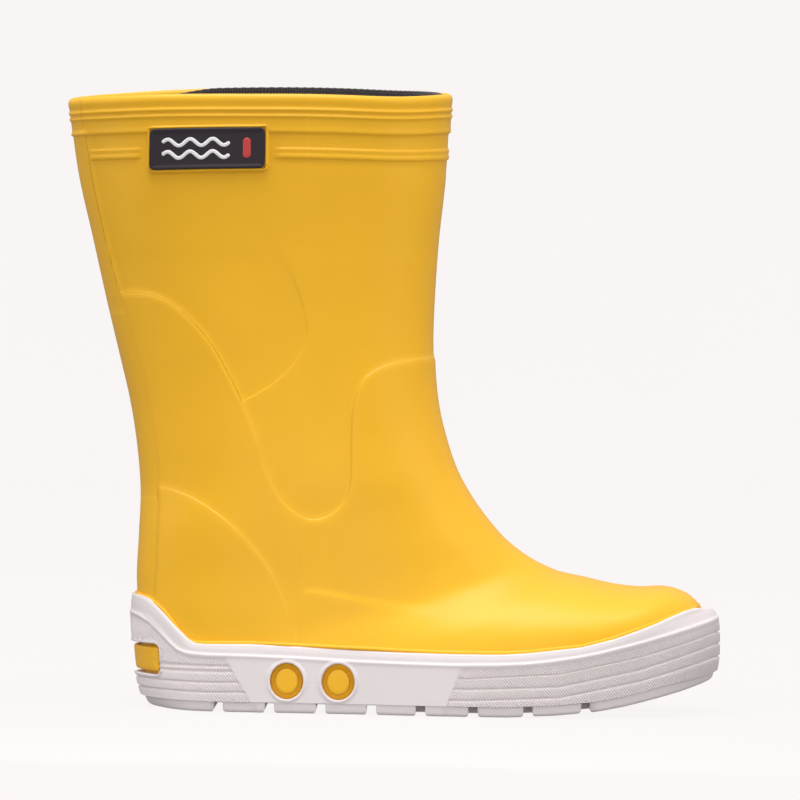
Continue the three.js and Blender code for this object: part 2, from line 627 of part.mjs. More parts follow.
// Stand the boot centred over the origin with its tread on the floor.
const box = new THREE.Box3().setFromObject(group);
const centre = box.getCenter(new THREE.Vector3());
for (const mesh of group.children) mesh.geometry.translate(-centre.x, -centre.y, -box.min.z);

export default group;
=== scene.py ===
"""Child's moulded deck boot, right foot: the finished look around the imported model.

Shapes are worked out in millimetres with x forward from the back of the heel, y towards the inner
side of the foot and z up from the floor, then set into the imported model's frame in metres.
"""

import math

import bpy
import numpy as np
from mathutils import Matrix, Vector
from mathutils.geometry import delaunay_2d_cdt


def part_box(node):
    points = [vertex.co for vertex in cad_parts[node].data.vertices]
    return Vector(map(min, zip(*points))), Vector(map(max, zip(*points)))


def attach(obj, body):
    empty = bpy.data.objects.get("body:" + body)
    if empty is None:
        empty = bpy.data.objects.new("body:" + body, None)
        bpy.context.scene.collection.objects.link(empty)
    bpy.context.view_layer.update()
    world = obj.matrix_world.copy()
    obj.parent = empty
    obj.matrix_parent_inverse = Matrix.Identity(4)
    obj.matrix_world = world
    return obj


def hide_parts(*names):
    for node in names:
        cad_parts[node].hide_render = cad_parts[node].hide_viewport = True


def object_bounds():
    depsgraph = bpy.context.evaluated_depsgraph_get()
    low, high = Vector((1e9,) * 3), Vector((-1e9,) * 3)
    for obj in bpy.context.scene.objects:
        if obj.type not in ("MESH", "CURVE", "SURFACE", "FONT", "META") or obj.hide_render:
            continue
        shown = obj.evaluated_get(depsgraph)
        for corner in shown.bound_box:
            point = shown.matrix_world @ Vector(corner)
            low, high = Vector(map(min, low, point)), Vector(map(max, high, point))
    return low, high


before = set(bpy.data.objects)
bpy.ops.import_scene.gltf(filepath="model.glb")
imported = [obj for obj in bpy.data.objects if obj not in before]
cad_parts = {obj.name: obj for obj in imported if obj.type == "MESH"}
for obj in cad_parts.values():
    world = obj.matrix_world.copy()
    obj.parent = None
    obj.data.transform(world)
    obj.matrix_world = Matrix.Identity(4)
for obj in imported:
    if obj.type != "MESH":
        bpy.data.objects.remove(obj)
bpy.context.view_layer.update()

# ------------------------------------------------------------------ where the boot stands
HEEL_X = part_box("outsole")[0][0] * 1000 - 0.3
MID_Y = 500 * (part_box("side_plug_outer_rear")[0][1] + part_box("side_plug_inner_rear")[1][1])
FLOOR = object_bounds()[0][2]

# Section planes from rim to toe: front x, z, back x, z, half width, place of the widest point,
# squareness of the back half and of the front half.
SECTIONS = np.array([
    [104.2, 202.4, -22.0, 199.6, 36.4, 0.50, 2.15, 2.15],
    [103.1, 177.2, -18.3, 175.8, 35.4, 0.50, 2.15, 2.15],
    [101.0, 155.0, -13.2, 154.6, 34.5, 0.50, 2.15, 2.15],
    [99.9, 134.0, -8.3, 134.0, 33.6, 0.50, 2.15, 2.15],
    [99.7, 118.0, -4.0, 117.0, 32.9, 0.50, 2.15, 2.15],
    [101.0, 103.0, 0.0, 100.8, 32.4, 0.50, 2.15, 2.15],
    [103.7, 91.0, 2.6, 85.5, 32.0, 0.49, 2.15, 2.15],
    [108.2, 78.4, 3.9, 71.0, 31.6, 0.48, 2.15, 2.15],
    [114.9, 67.3, 3.6, 57.0, 30.6, 0.43, 2.25, 2.15],
    [123.0, 57.5, 3.2, 40.0, 29.6, 0.41, 2.28, 2.15],
    [129.5, 52.1, 5.8, 23.0, 29.2, 0.37, 2.38, 2.18],
    [135.6, 48.4, 13.0, 10.8, 29.3, 0.355, 2.54, 2.20],
    [142.6, 45.5, 40.0, 8.6, 30.7, 0.365, 2.65, 2.20],
    [151.6, 43.6, 72.0, 8.0, 33.1, 0.38, 2.76, 2.20],
    [160.8, 41.6, 102.0, 8.0, 34.7, 0.38, 2.90, 2.20],
    [169.6, 40.7, 130.0, 8.8, 34.2, 0.37, 3.00, 2.20],
    [177.9, 41.0, 152.0, 11.2, 30.8, 0.38, 3.00, 2.20],
    [183.6, 39.6, 168.0, 14.8, 24.8, 0.40, 2.70, 2.25],
    [187.4, 37.2, 179.0, 19.0, 18.4, 0.45, 2.40, 2.25],
    [190.1, 34.0, 186.0, 23.0, 11.6, 0.50, 2.20, 2.20],
    [191.6, 31.6, 190.6, 26.6, 5.0, 0.50, 2.10, 2.10],
])
LAST = len(SECTIONS) - 1
RIM_RISE = (-1.2, 6.2, 120.0, 200.0)   # outer side, inner side, from z, to z
FRONT_RISE, BACK_RISE = 1.1, 0.4       # extra height of the rim's front and back corners
RIM_DIP = (0.4, 88.0, 16.0)            # extra fall of the outer rim: amount, x, spread
BELOW_RIM = 24.6                       # length of the first section along the leg
WALL, LINING, GAP = 2.2, 1.2, 0.3
SWING = (85.0, 196.0, 4.2)             # forefoot bend: from x, to x, amount
FLOOR_GAP = 0.0002                     # metres the stage floor lies under the tread

# Side-view lines (x, z) of the moulded upper.
VAMP_LINE = [
    (-60, 134), (-0.8, 135.9), (2.8, 136), (6.9, 135.5), (11.8, 133.9), (15.9, 131.4), (21.1, 127),
    (25.7, 121.9), (29.4, 116.7), (32.9, 110.6), (36.1, 104.6), (38.7, 99), (41.4, 92.5), (43.8, 86.1),
    (45.6, 80), (47.8, 74.4), (51, 69.2), (55, 65.4), (59, 63.3), (62.4, 63), (66.3, 64.2), (69.8, 66.9),
    (72.2, 70.4), (73.3, 75.5), (73.4, 82.5), (73.3, 89.8), (73.5, 97.1), (74.4, 102.8), (76.2, 107.4),
    (79.4, 110.9), (84.3, 113.5), (90.7, 115.2), (99.6, 116.6), (140, 118)]
LEAF_LINE = [
    (31.5, 178), (34.7, 171.4), (39.7, 163.3), (43.9, 156.9), (48, 151), (51.3, 145.7), (53.9, 140.5),
    (56.1, 134.9), (57.8, 129.3), (58.5, 124.4), (57.8, 119.5), (55.4, 114.8), (51.6, 110.2),
    (47.1, 106.4), (43.1, 103.8), (38, 101)]
COUNTER_LINE = [
    (4, 74), (12.4, 72.5), (17.3, 71.3), (23.1, 68.9), (28.8, 65.5), (34.6, 61.2), (39.5, 56.7),
    (43.7, 51.9), (47.1, 47.3), (49.9, 42.3), (52.2, 36.6), (54.2, 29.6), (55.6, 18)]
CREASE = [
    (59.5, 40.2), (66, 39.3), (72.5, 38.1), (80.6, 36.6), (90.4, 34.9), (101.7, 33.3), (117.9, 31.2),
    (134, 30.6)]
STAY = [   # (z, x) of the back strip's front edge
    (30, 10), (43, 10.6), (55, 11), (66, 11.3), (80, 10.6), (93, 8.8), (106, 6.1), (119, 2.7),
    (134, -1.8), (148, -6), (161, -9.4), (176, -12.6), (187, -14.4), (205, -17.5)]

# Outsole: outline from below and heights along the foot.
SOLE_OUTLINE = [
    (0.3, 0), (1.4, 7), (4.6, 14.2), (10, 21), (20, 27.8), (35, 31.5), (55, 32.1), (75, 33.3), (95, 35.7),
    (115, 37.8), (135, 38.2), (152, 36.8), (167.4, 33.2), (179.8, 27.6), (188.6, 20.4), (194.7, 11.4),
    (197.2, 0)]
SOLE_BOTTOM = [(0, 0), (125, 0), (141, 0.8), (154, 2), (163, 3.6), (170, 5.2), (182, 8.1), (197, 12.1)]
SOLE_BEAD = [
    (0, 31), (2, 30.6), (4.5, 29.9), (7.5, 28.4), (10, 26.4), (12.5, 24.1), (15, 21.8), (17.5, 19.8),
    (20, 18.9), (23, 18.5), (28, 18.3), (42, 18.2), (58, 17.7), (75, 17), (90, 16.7), (107, 16.5),
    (123, 16.9), (131, 17.3), (139, 18.2), (147, 19.4), (155, 20.9), (168, 24.1), (182, 27.9), (197, 31.8)]
SOLE_TOP = [
    (0, 36.9), (4, 36.6), (7.2, 35.8), (9.5, 34.9), (11.8, 33.5), (14, 31.5), (16.5, 28.6), (19, 25.2),
    (21.3, 22.8), (23.6, 21.9), (27, 21.8), (42, 22.1), (58, 21.5), (75, 20.7), (90, 20.3), (107, 20.1),
    (123, 20.2), (131, 20.7), (139, 21.6), (149, 22.8), (159, 25.3), (168.4, 28.5), (179, 32.2),
    (186, 34.3), (191, 35.1), (198, 34.4)]
MERGED = [(60, 12.9), (105, 12.4), (113, 12.4), (142, 14.2), (168.7, 19.8), (194.5, 26.9)]
GROOVES = [
    [(0, 6.4), (30, 6.3), (42, 6.6), (105, 5.3), (113, 5.3), (142, 6.6), (168.7, 11.9), (194.5, 18.8)],
    [(0, 9.5), (30, 9.5), (42, 9.8), (105, 8.9), (113, 8.9), (142, 10.1), (168.7, 15.6), (194.5, 23.1)],
    [(0, 13.1), (30, 13.1), (42, 13.4)] + MERGED,
    [(0, 14.9), (30, 14.9), (42, 15.1)] + MERGED]   # the last two run together ahead of the heel
TREAD_AT = [31.3, 48.2, 64.8, 81.2, 97.1, 114.1, 132, 150.9]
TREAD_WIDE, TREAD_HIGH, TREAD_NOTCH = 3.0, 3.3, 12
HATCH_PITCH, HATCH_DEEP, HATCH_LEAN = 1.0, 0.36, 0.9
PORTS = {"x": (53.6, 70.3), "z": 10.4, "half": (5.45, 5.95)}
HEEL_PORT = {"x": 11.0, "z": (11.0, 21.2), "round": 2.4}
BADGE = {"x": (6.9, 44.2), "z": (176.3, 189.8), "tilt": 0.03, "round": 2.0}
INSOLE_TOP = [
    (-10, 17.6), (35, 17), (60, 16.2), (110, 15.7), (130, 16.4), (152, 18.9), (168, 22.6), (184, 28)]


# ------------------------------------------------------------------ numbers
def smooth(a, b, x):
    """0 at a, 1 at b, with a gentle start and end."""
    t = np.clip((np.asarray(x, float) - a) / (b - a), 0, 1)
    return t * t * (3 - 2 * t)


def along(table, x):
    """Height from a table of (x, height)."""
    xs, vs = zip(*table)
    return np.interp(x, xs, vs)


def bell(x, middle, width):
    return np.exp(-0.5 * ((x - middle) / width) ** 2)


def catmull(rows, u):
    """Smooth curve through rows, at row numbers u."""
    u = np.asarray(u, float)
    i = np.clip(np.floor(u).astype(int), 0, len(rows) - 2)
    t = (u - i)[..., None]
    b, c = rows[i], rows[i + 1]
    a = np.where((i > 0)[..., None], rows[np.maximum(i - 1, 0)], 2 * b - c)
    d = np.where((i + 2 < len(rows))[..., None], rows[np.minimum(i + 2, len(rows) - 1)], 2 * c - b)
    square, cube = 2 * a - 5 * b + 4 * c - d, 3 * b - a - 3 * c + d
    return (2 * b + (c - a) * t + square * t ** 2 + cube * t ** 3) / 2


def leg(u, angle):
    """Point of the upper's outer skin. The angle is 0 at the front and half a turn at the back."""
    u, angle = np.broadcast_arrays(np.asarray(u, float), np.asarray(angle, float))
    fx, fz, bx, bz, half, wide, sb, sf = np.moveaxis(catmull(SECTIONS, u), -1, 0)
    c, s = np.cos(angle), np.sin(angle)
    power = np.where(c < 0, 2 / sb, 2 / sf)
    reach = np.abs(c) ** power
    share = np.where(c < 0, wide * (1 - reach), wide + (1 - wide) * reach)
    y = -np.sign(s) * half * np.abs(s) ** power
    x = bx + (fx - bx) * share
    z = bz + (fz - bz) * share
    low, high, z0, z1 = RIM_RISE
    across = y / 36
    z = z + smooth(z0, z1, z) * ((high - low) / 2 * across + (high + low) / 2 * across ** 2)
    tip = RIM_DIP[0] * bell(x, RIM_DIP[1], RIM_DIP[2]) - 0.5 * smooth(45, 0, x)
    corner = FRONT_RISE * smooth(78, 103, x) + BACK_RISE * smooth(0, -22, x)
    z = z + (corner * np.clip(1 - across ** 2, 0, 1) - tip * smooth(-4, -26, y)) * smooth(150, 200, z)
    return np.stack([x, y, z], -1)


def leg_out(u, angle, h=0.02):
    """Outward direction of the upper's skin."""
    du = leg(np.minimum(LAST, u + h), angle) - leg(np.maximum(0, u - h), angle)
    da = leg(u, angle + h) - leg(u, angle - h)
    n = np.cross(da, du)
    return n / np.linalg.norm(n, axis=-1, keepdims=True)


def side_address(x, z):
    """Section number and angle of the skin under a side-view point on the outer side."""
    x, z = np.asarray(x, float), np.asarray(z, float)
    low, high = np.zeros(x.shape), np.full(x.shape, 18.0)
    for _ in range(40):
        u = (low + high) / 2
        fx, fz, bx, bz = np.moveaxis(catmull(SECTIONS, u), -1, 0)[:4]
        over = (fx - bx) * (z - bz) - (fz - bz) * (x - bx) > 0
        high = np.where(over, u, high)
        low = np.where(over, low, u)
    fx, fz, bx, bz, half, wide, sb, sf = np.moveaxis(catmull(SECTIONS, low), -1, 0)
    share = (x - bx) / (fx - bx)
    ahead = share >= wide
    q = np.where(ahead, (share - wide) / (1 - wide), (wide - share) / wide)
    c = np.clip(q, 0, 1) ** (np.where(ahead, sf, sb) / 2)
    return low, np.where(ahead, np.arccos(c), np.pi - np.arccos(c)), half, q, np.where(ahead, sf, sb)


def on_side(x, z, out):
    """Point a distance off the skin over a side-view point."""
    u, angle = side_address(x, z)[:2]
    return leg(u, angle) + leg_out(u, angle) * np.asarray(out)[..., None]


def half_width(x, z):
    """Half width of the upper at a side-view point, outer skin."""
    _, _, half, q, n = side_address(x, z)
    return half * np.clip(1 - np.clip(q, 0, 1) ** n, 0, 1) ** (1 / n)


def line_distance(px, pz, line):
    """Distance from points to an open line."""
    best = np.full(np.shape(px), 1e9)
    for (x0, z0), (x1, z1) in zip(line[:-1], line[1:]):
        dx, dz = x1 - x0, z1 - z0
        t = np.clip(((px - x0) * dx + (pz - z0) * dz) / (dx * dx + dz * dz), 0, 1)
        best = np.minimum(best, np.hypot(px - x0 - t * dx, pz - z0 - t * dz))
    return best


def inside(px, pz, loop):
    """True for points inside a closed outline."""
    hit = np.zeros(np.shape(px), bool)
    for (x0, z0), (x1, z1) in zip(loop, loop[1:] + loop[:1]):
        if z0 != z1:
            crosses = (z0 > pz) != (z1 > pz)
            hit ^= crosses & (px < (x1 - x0) * (pz - z0) / (z1 - z0) + x0)
    return hit


def signed(px, pz, line, loop):
    """Distance to a line, positive inside the loop that it bounds."""
    return np.where(inside(px, pz, loop), 1, -1) * line_distance(px, pz, line)


def smooth_line(points, steps=6):
    """A finer line through given points."""
    rows = np.array(points, float)
    return [tuple(p) for p in catmull(rows, np.linspace(0, len(rows) - 1, steps * (len(rows) - 1) + 1))]


# ------------------------------------------------------------------ meshes
def place(points):
    """Heel-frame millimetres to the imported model's frame in metres, forefoot bend included."""
    p = np.array(points, float).reshape(-1, 3)
    a, b, amount = SWING
    p[:, 1] += amount * smooth(a, b, p[:, 0])
    return (p + [HEEL_X, MID_Y, FLOOR * 1000]) / 1000


def piece(name, points, faces, material, replaces, slot, uv=None, flat=False):
    """A mesh that rides on the boot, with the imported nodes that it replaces."""
    mesh = bpy.data.meshes.new(name)
    mesh.from_pydata(place(points).tolist(), [], [tuple(int(i) for i in f) for f in faces])
    index = np.empty(len(mesh.loops), int)
    mesh.loops.foreach_get("vertex_index", index)
    for key, pairs in (uv or {}).items():
        mesh.uv_layers.new(name=key).data.foreach_set("uv", np.asarray(pairs, float)[index].ravel())
    mesh.materials.append(material)
    mesh.validate()
    if not flat:
        mesh.shade_smooth()
    made = bpy.data.objects.new(name, mesh)
    bpy.context.scene.collection.objects.link(made)
    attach(made, "root")
    if replaces:
        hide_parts(*replaces)
    return made


def grid_faces(rows, cols, round_cols=True, start=0):
    """Quads between rows of points, closed into rings or left as a sheet."""
    r, c = np.meshgrid(np.arange(rows - 1), np.arange(cols if round_cols else cols - 1), indexing="ij")
    n = (c + 1) % cols
    a, b = start + r * cols, start + (r + 1) * cols
    return np.stack([a + c, a + n, b + n, b + c], -1).reshape(-1, 4)


def outward(points, faces):
    """Faces turned so that their body has a positive volume."""
    f = np.array([face[:3] for face in faces])
    v = np.einsum("ij,ij->i", points[f[:, 0]], np.cross(points[f[:, 1]], points[f[:, 2]])).sum()
    return faces if v > 0 else [tuple(face)[::-1] for face in faces]


def capped_grid(rows, columns):
    """Rings joined row to row, the last ring closed to one point after the grid's own."""
    faces = list(grid_faces(rows, columns))
    last = (rows - 1) * columns
    faces += [(last + i, last + (i + 1) % columns, rows * columns) for i in range(columns)]
    return faces


# ------------------------------------------------------------------ materials
def new_material(name, color, rough, **sockets):
    m = bpy.data.materials.new(name)
    m.use_nodes = True
    shader = m.node_tree.nodes["Principled BSDF"]
    shader.inputs["Base Color"].default_value = (*color, 1)
    shader.inputs["Roughness"].default_value = rough
    for key, value in sockets.items():
        shader.inputs[key.replace("_", " ")].default_value = value
    return m, m.node_tree.nodes, m.node_tree.links, shader


def texture(nodes, links, kind, coords, **values):
    t = nodes.new(kind)
    for key, value in values.items():
        t.inputs[key.replace("_", " ")].default_value = value
    links.new(coords, t.inputs["Vector"])
    return t


def ramp(nodes, links, source, stops):
    """A colour that runs between two (place, colour) stops."""
    r = nodes.new("ShaderNodeValToRGB")
    for element, (at, color) in zip(r.color_ramp.elements, stops):
        element.position, element.color = at, (*color, 1)
    links.new(source, r.inputs["Fac"])
    return r.outputs["Color"]


def spread(nodes, links, source, low, high):
    """A 0 to 1 value stretched to a range."""
    m = nodes.new("ShaderNodeMapRange")
    m.inputs["To Min"].default_value, m.inputs["To Max"].default_value = low, high
    links.new(source, m.inputs["Value"])
    return m.outputs["Result"]


def math_node(nodes, links, operation, *inputs):
    """One sum; each input is a socket or a number."""
    m = nodes.new("ShaderNodeMath")
    m.operation = operation
    for socket, value in zip(m.inputs, inputs):
        if isinstance(value, float):
            socket.default_value = value
        else:
            links.new(value, socket)
    return m.outputs[0]


def split_layer(nodes, links, layer):
    """The two values of a layer of the mesh."""
    uv = nodes.new("ShaderNodeUVMap")
    uv.uv_map = layer
    split = nodes.new("ShaderNodeSeparateXYZ")
    links.new(uv.outputs["UV"], split.inputs[0])
    return split.outputs["X"], split.outputs["Y"]


def bump(nodes, links, shader, heights):
    """Chains bump maps: (height, strength, distance in metres)."""
    last = None
    for height, strength, distance in heights:
        b = nodes.new("ShaderNodeBump")
        b.inputs["Strength"].default_value, b.inputs["Distance"].default_value = strength, distance
        links.new(height, b.inputs["Height"])
        if last:
            links.new(last, b.inputs["Normal"])
        last = b.outputs["Normal"]
    links.new(last, shader.inputs["Normal"])


def crisp_lines(nodes, links, layer, widths):
    """Two smooth steps, each across the zero of one value of a layer; widths in millimetres."""
    steps = []
    for source, width in zip(split_layer(nodes, links, layer), widths):
        step = nodes.new("ShaderNodeMapRange")
        step.interpolation_type = "SMOOTHSTEP"
        step.inputs["From Min"].default_value, step.inputs["From Max"].default_value = -width, width
        links.new(source, step.inputs["Value"])
        steps.append(step.outputs["Result"])
    return steps


def moulded(name, color, rough, tint=0.03, lines=False, **sockets):
    """Moulded PVC: cloudy colour, slightly uneven gloss, fine pimpled skin and soft waviness."""
    m, nodes, links, shader = new_material(name, color, rough, **sockets)
    co = nodes.new("ShaderNodeTexCoord").outputs["Object"]
    cloud = texture(nodes, links, "ShaderNodeTexNoise", co, Scale=28.0, Detail=4.0, Roughness=0.55)
    fine = texture(nodes, links, "ShaderNodeTexNoise", co, Scale=1400.0, Detail=2.0, Roughness=0.5)
    wavy = texture(nodes, links, "ShaderNodeTexNoise", co, Scale=60.0, Detail=2.0, Roughness=0.4)
    dark = tuple(c * (1 - tint) for c in color)
    light = tuple(min(1, c * (1 + tint)) for c in color)
    patches = cloud.outputs["Fac"]
    links.new(ramp(nodes, links, patches, [(0.3, dark), (0.7, light)]), shader.inputs["Base Color"])
    links.new(spread(nodes, links, patches, rough - 0.06, rough + 0.06), shader.inputs["Roughness"])
    heights = [(fine.outputs["Fac"], 0.10, 0.00005), (wavy.outputs["Fac"], 0.12, 0.0004)]
    if lines:
        vamp, heel = crisp_lines(nodes, links, "main_lines", (0.30, 0.30))
        leaf, crease = crisp_lines(nodes, links, "fine_lines", (0.30, 0.70))
        heights += [(vamp, 1.0, 0.00034), (heel, 1.0, 0.00032), (leaf, 1.0, 0.0002), (crease, 1.0, 0.00018)]
    bump(nodes, links, shader, heights)
    return m


def knitted(name, color, course=0.9, wale=0.7, deep=0.0003):
    """Ribbed knit read from the piece's own length and height in millimetres; the colour is darker in the
    loops' hollows and lighter on their crests, a painted shade and painted highlight.
    """
    m, nodes, links, shader = new_material(name, color, 0.95, Sheen_Weight=0.35, Sheen_Roughness=0.5)

    def node(operation, *inputs):
        return math_node(nodes, links, operation, *inputs)

    length, height = split_layer(nodes, links, "along")
    across = node("SINE", node("MULTIPLY", length, 2 * math.pi / wale))
    turned = node("ADD", node("MULTIPLY", height, 2 * math.pi / course), node("MULTIPLY", across, 1.4))
    loops = node("ADD", across, node("SINE", turned))
    co = nodes.new("ShaderNodeTexCoord").outputs["Object"]
    fuzz = texture(nodes, links, "ShaderNodeTexNoise", co, Scale=900.0, Detail=3.0)
    # painted shade and painted highlight: the colour runs from 0.4 times the yarn colour in the loops'
    # hollows to 2.2 times on their crests, following the same loops as the bump
    stops = [(0.0, tuple(c * 0.4 for c in color)), (1.0, tuple(c * 2.2 for c in color))]
    links.new(ramp(nodes, links, loops, stops), shader.inputs["Base Color"])
    relief = spread(nodes, links, loops, 0.3, 0.8)
    bump(nodes, links, shader, [(relief, 0.6, deep), (fuzz.outputs["Fac"], 0.3, 0.0001)])
    return m


PVC = {"color": (0.82, 0.435, 0.018), "rough": 0.40, "Specular_IOR_Level": 0.36}
YELLOW = moulded("yellow_pvc", **PVC)
LINED = moulded("yellow_pvc_with_moulded_lines", lines=True, **PVC)
CORE = moulded("yellow_core_pvc", (0.84, 0.44, 0.020), 0.4, Specular_IOR_Level=0.4)
WHITE = moulded("white_pvc", (0.72, 0.655, 0.657), 0.52, tint=0.015, Specular_IOR_Level=0.4)
KNIT = knitted("knit_lining", (0.036, 0.028, 0.028))
CLOTH = knitted("insole_cloth", (0.050, 0.040, 0.044), 1.1, 1.1, 0.0002)
FOAM = moulded("insole_foam", (0.28, 0.27, 0.26), 0.85, tint=0.08)
DARK = moulded("badge_dark", (0.027, 0.019, 0.025), 0.5, tint=0.1)
PALE = moulded("badge_white", (0.82, 0.80, 0.82), 0.45)
RED = moulded("badge_red", (0.55, 0.055, 0.05), 0.42)

# ------------------------------------------------------------------ upper
def collar_out(d):
    """How far the collar stands out at a distance below the rim."""
    step = 0.6 * (1 - smooth(11.5, 12.2, d))
    lip = 0.2 * (1 - smooth(1.5, 3.6, d)) + 0.16 * bell(d, 11.2, 0.7) * smooth(12.2, 11.4, d)
    ribs = 0.52 * bell(d, 4.45, 0.37) + 0.5 * bell(d, 6.5, 0.37)
    return step + lip + ribs


def band_out(d, p):
    """Double band below the collar, broken by the back strip and the badge."""
    ridge = smooth(16.5, 17.0, d) * (1 - smooth(19.9, 20.4, d))
    ridge = ridge * (0.5 + 0.12 * smooth(18.6, 19.0, d) - 0.1 * bell(d, 18.3, 0.4))
    x, (left, right) = p[..., 0], BADGE["x"]
    stay = smooth(-0.5, 0.6, x - along(STAY, p[..., 2]))
    gap = smooth(left - 4.4, left - 3.4, x) * (1 - smooth(right + 3.4, right + 4.4, x)) * (p[..., 1] < 0)
    return ridge * stay * (1 - gap)


def moulded_lines(p):
    """Signed millimetres to the vamp, heel, leaf and crease lines, positive on the raised side."""
    x, z = p[..., 0], p[..., 2]
    vamp = [VAMP_LINE[0]] + smooth_line(VAMP_LINE[1:-1]) + [VAMP_LINE[-1]]
    over = signed(x, z, vamp, vamp + [(300, 118), (300, -60), (-60, -60)])
    leaf = smooth_line(LEAF_LINE)
    leaf += [q for q in vamp if q[0] < 38.2 and q[1] > 95][::-1]
    panel = signed(x, z, leaf, leaf + [(-60, 178)])
    counter = smooth_line(COUNTER_LINE)
    heel = signed(x, z, counter, counter + [(55.6, -60), (-60, -60), (-60, 74)])
    heel = heel / (1 + 0.8 * (1 - smooth(24, 44, z)))
    crease = (along(CREASE, x) - z) / (1 + np.clip(x - 62, 0, 60) / 24)
    return over, heel, panel, crease


def upper_relief(p):
    """Moulded overlays of the leg and foot, as outward millimetres."""
    x, z = p[..., 0], p[..., 2]
    over, heel, panel, crease = moulded_lines(p)
    faint = (0.5 + 0.5 * smooth(132, 116, z)) * smooth(178.5, 176, z)
    out = 0.22 * smooth(0.7, -0.7, panel) * faint
    out = out + 0.5 * smooth(-0.7, 0.7, over) + 0.36 * smooth(-0.7, 0.7, heel)
    out = out + 0.36 * smooth(-0.9, 1.0, crease) * smooth(57, 62, x) * smooth(116, 76, x)
    stay = along(STAY, z) - x
    return out + (0.5 - out) * smooth(-0.6, 0.6, stay) * smooth(189.5, 188, z)


def line_layers(p):
    """The same distances for the surface detail, flattened where a line dies out or meets the strip."""
    x, z = p[..., 0], p[..., 2]
    over, heel, panel, crease = (np.clip(d, -3, 3) for d in moulded_lines(p))
    free = smooth(-0.6, 0.2, x - along(STAY, z))
    free_high = np.maximum(free, smooth(131, 120, z))
    free_low = np.maximum(free, smooth(70, 58, z))
    leaf = -panel * smooth(152, 122, z)
    fold = crease * smooth(57, 62, x) * smooth(116, 76, x)
    return np.stack([over * free_high, heel * free_low], -1), np.stack([leaf * free, fold], -1)


def upper():
    """Leg and foot as one skin, turned over the rim and a little way down inside."""
    outer, inner = 190, 122   # columns on the two sides
    columns = outer + inner
    angle = np.pi * np.concatenate([np.arange(outer) / outer, 1 + np.arange(inner) / inner])
    lip, collar, row = 1.3, 23, 1.2   # millimetres below the rim, and between rows
    middles = (SECTIONS[:, :2] + SECTIONS[:, 2:4]) / 2
    u_leg = [collar / BELOW_RIM]
    while u_leg[-1] < LAST:
        i = min(int(u_leg[-1]), LAST - 1)
        length = np.hypot(*(middles[i + 1] - middles[i]))
        u_leg.append(u_leg[-1] + row / max(length, 3.0))
    rows, main, minor = [], [], []

    def add(u, out, up=0.0):
        u = np.full(columns, float(u))
        p = leg(u, angle)
        for kept, layer in zip((main, minor), line_layers(p)):
            kept.append(layer)
        out = out(p) if callable(out) else out
        q = p + leg_out(u, angle) * np.broadcast_to(out, (columns,))[:, None]
        q[:, 2] += up
        rows.append(q)

    for d in (9.0, 6.0, 4.0, 2.8, 2.0):
        add(d / BELOW_RIM, -WALL + 0.05)
    edge = float(collar_out(lip))
    middle, reach = (edge - WALL) / 2, (edge + WALL) / 2
    for k in np.linspace(math.pi, 0, 15)[1:-1]:
        add(lip / BELOW_RIM, middle + reach * math.cos(k), 1.95 * math.sin(k) ** 0.9)
    for d in np.linspace(lip, collar, 66):
        add(d / BELOW_RIM, lambda p, d=d: collar_out(d) + band_out(d, p) + upper_relief(p))
    for u in u_leg[1:]:
        add(min(u, LAST), upper_relief)
    points = np.concatenate(rows + [rows[-1].mean(0)[None]])
    faces = outward(points, capped_grid(len(rows), columns))
    layers = {name: np.concatenate(kept + [kept[-1][:1]])
              for name, kept in (("main_lines", main), ("fine_lines", minor))}
    piece("upper", points, faces, LINED, ["upper_shell"], "yellow_pvc", uv=layers)


def lip_bead():
    """Rounded bead of the upper where it meets the top edge of the sole."""
    angle = np.linspace(0, 2 * np.pi, 1441)[:-1]
    low, high = np.full(angle.shape, 7.0), np.full(angle.shape, 19.9)
    for _ in range(40):
        u = (low + high) / 2
        p = leg(u, angle)
        above = p[:, 2] > along(SOLE_TOP, p[:, 0]) + 0.45
        low, high = np.where(above, u, low), np.where(above, high, u)
    p, out = leg(low, angle), leg_out(low, angle)
    centre = p + out * (upper_relief(p) + 0.2)[:, None]
    forward = np.roll(centre, -1, 0) - np.roll(centre, 1, 0)
    forward /= np.linalg.norm(forward, axis=1, keepdims=True)
    up = np.cross(forward, out)
    turns = np.linspace(0, 2 * np.pi, 11)[:-1]
    thick = (0.72 - 0.62 * smooth(182, 190, p[:, 0]))[:, None]
    ring = [centre + thick * (np.cos(t) * out + np.sin(t) * up) for t in turns]
    points = np.stack(ring, 1).reshape(-1, 3)
    faces = [tuple(f) for f in grid_faces(len(angle), 10)]
    last = (len(angle) - 1) * 10
    faces += [(last + i, last + (i + 1) % 10, (i + 1) % 10, i) for i in range(10)]
    piece("upper_lip_bead", points, outward(points, faces), YELLOW, (), "yellow_pvc")


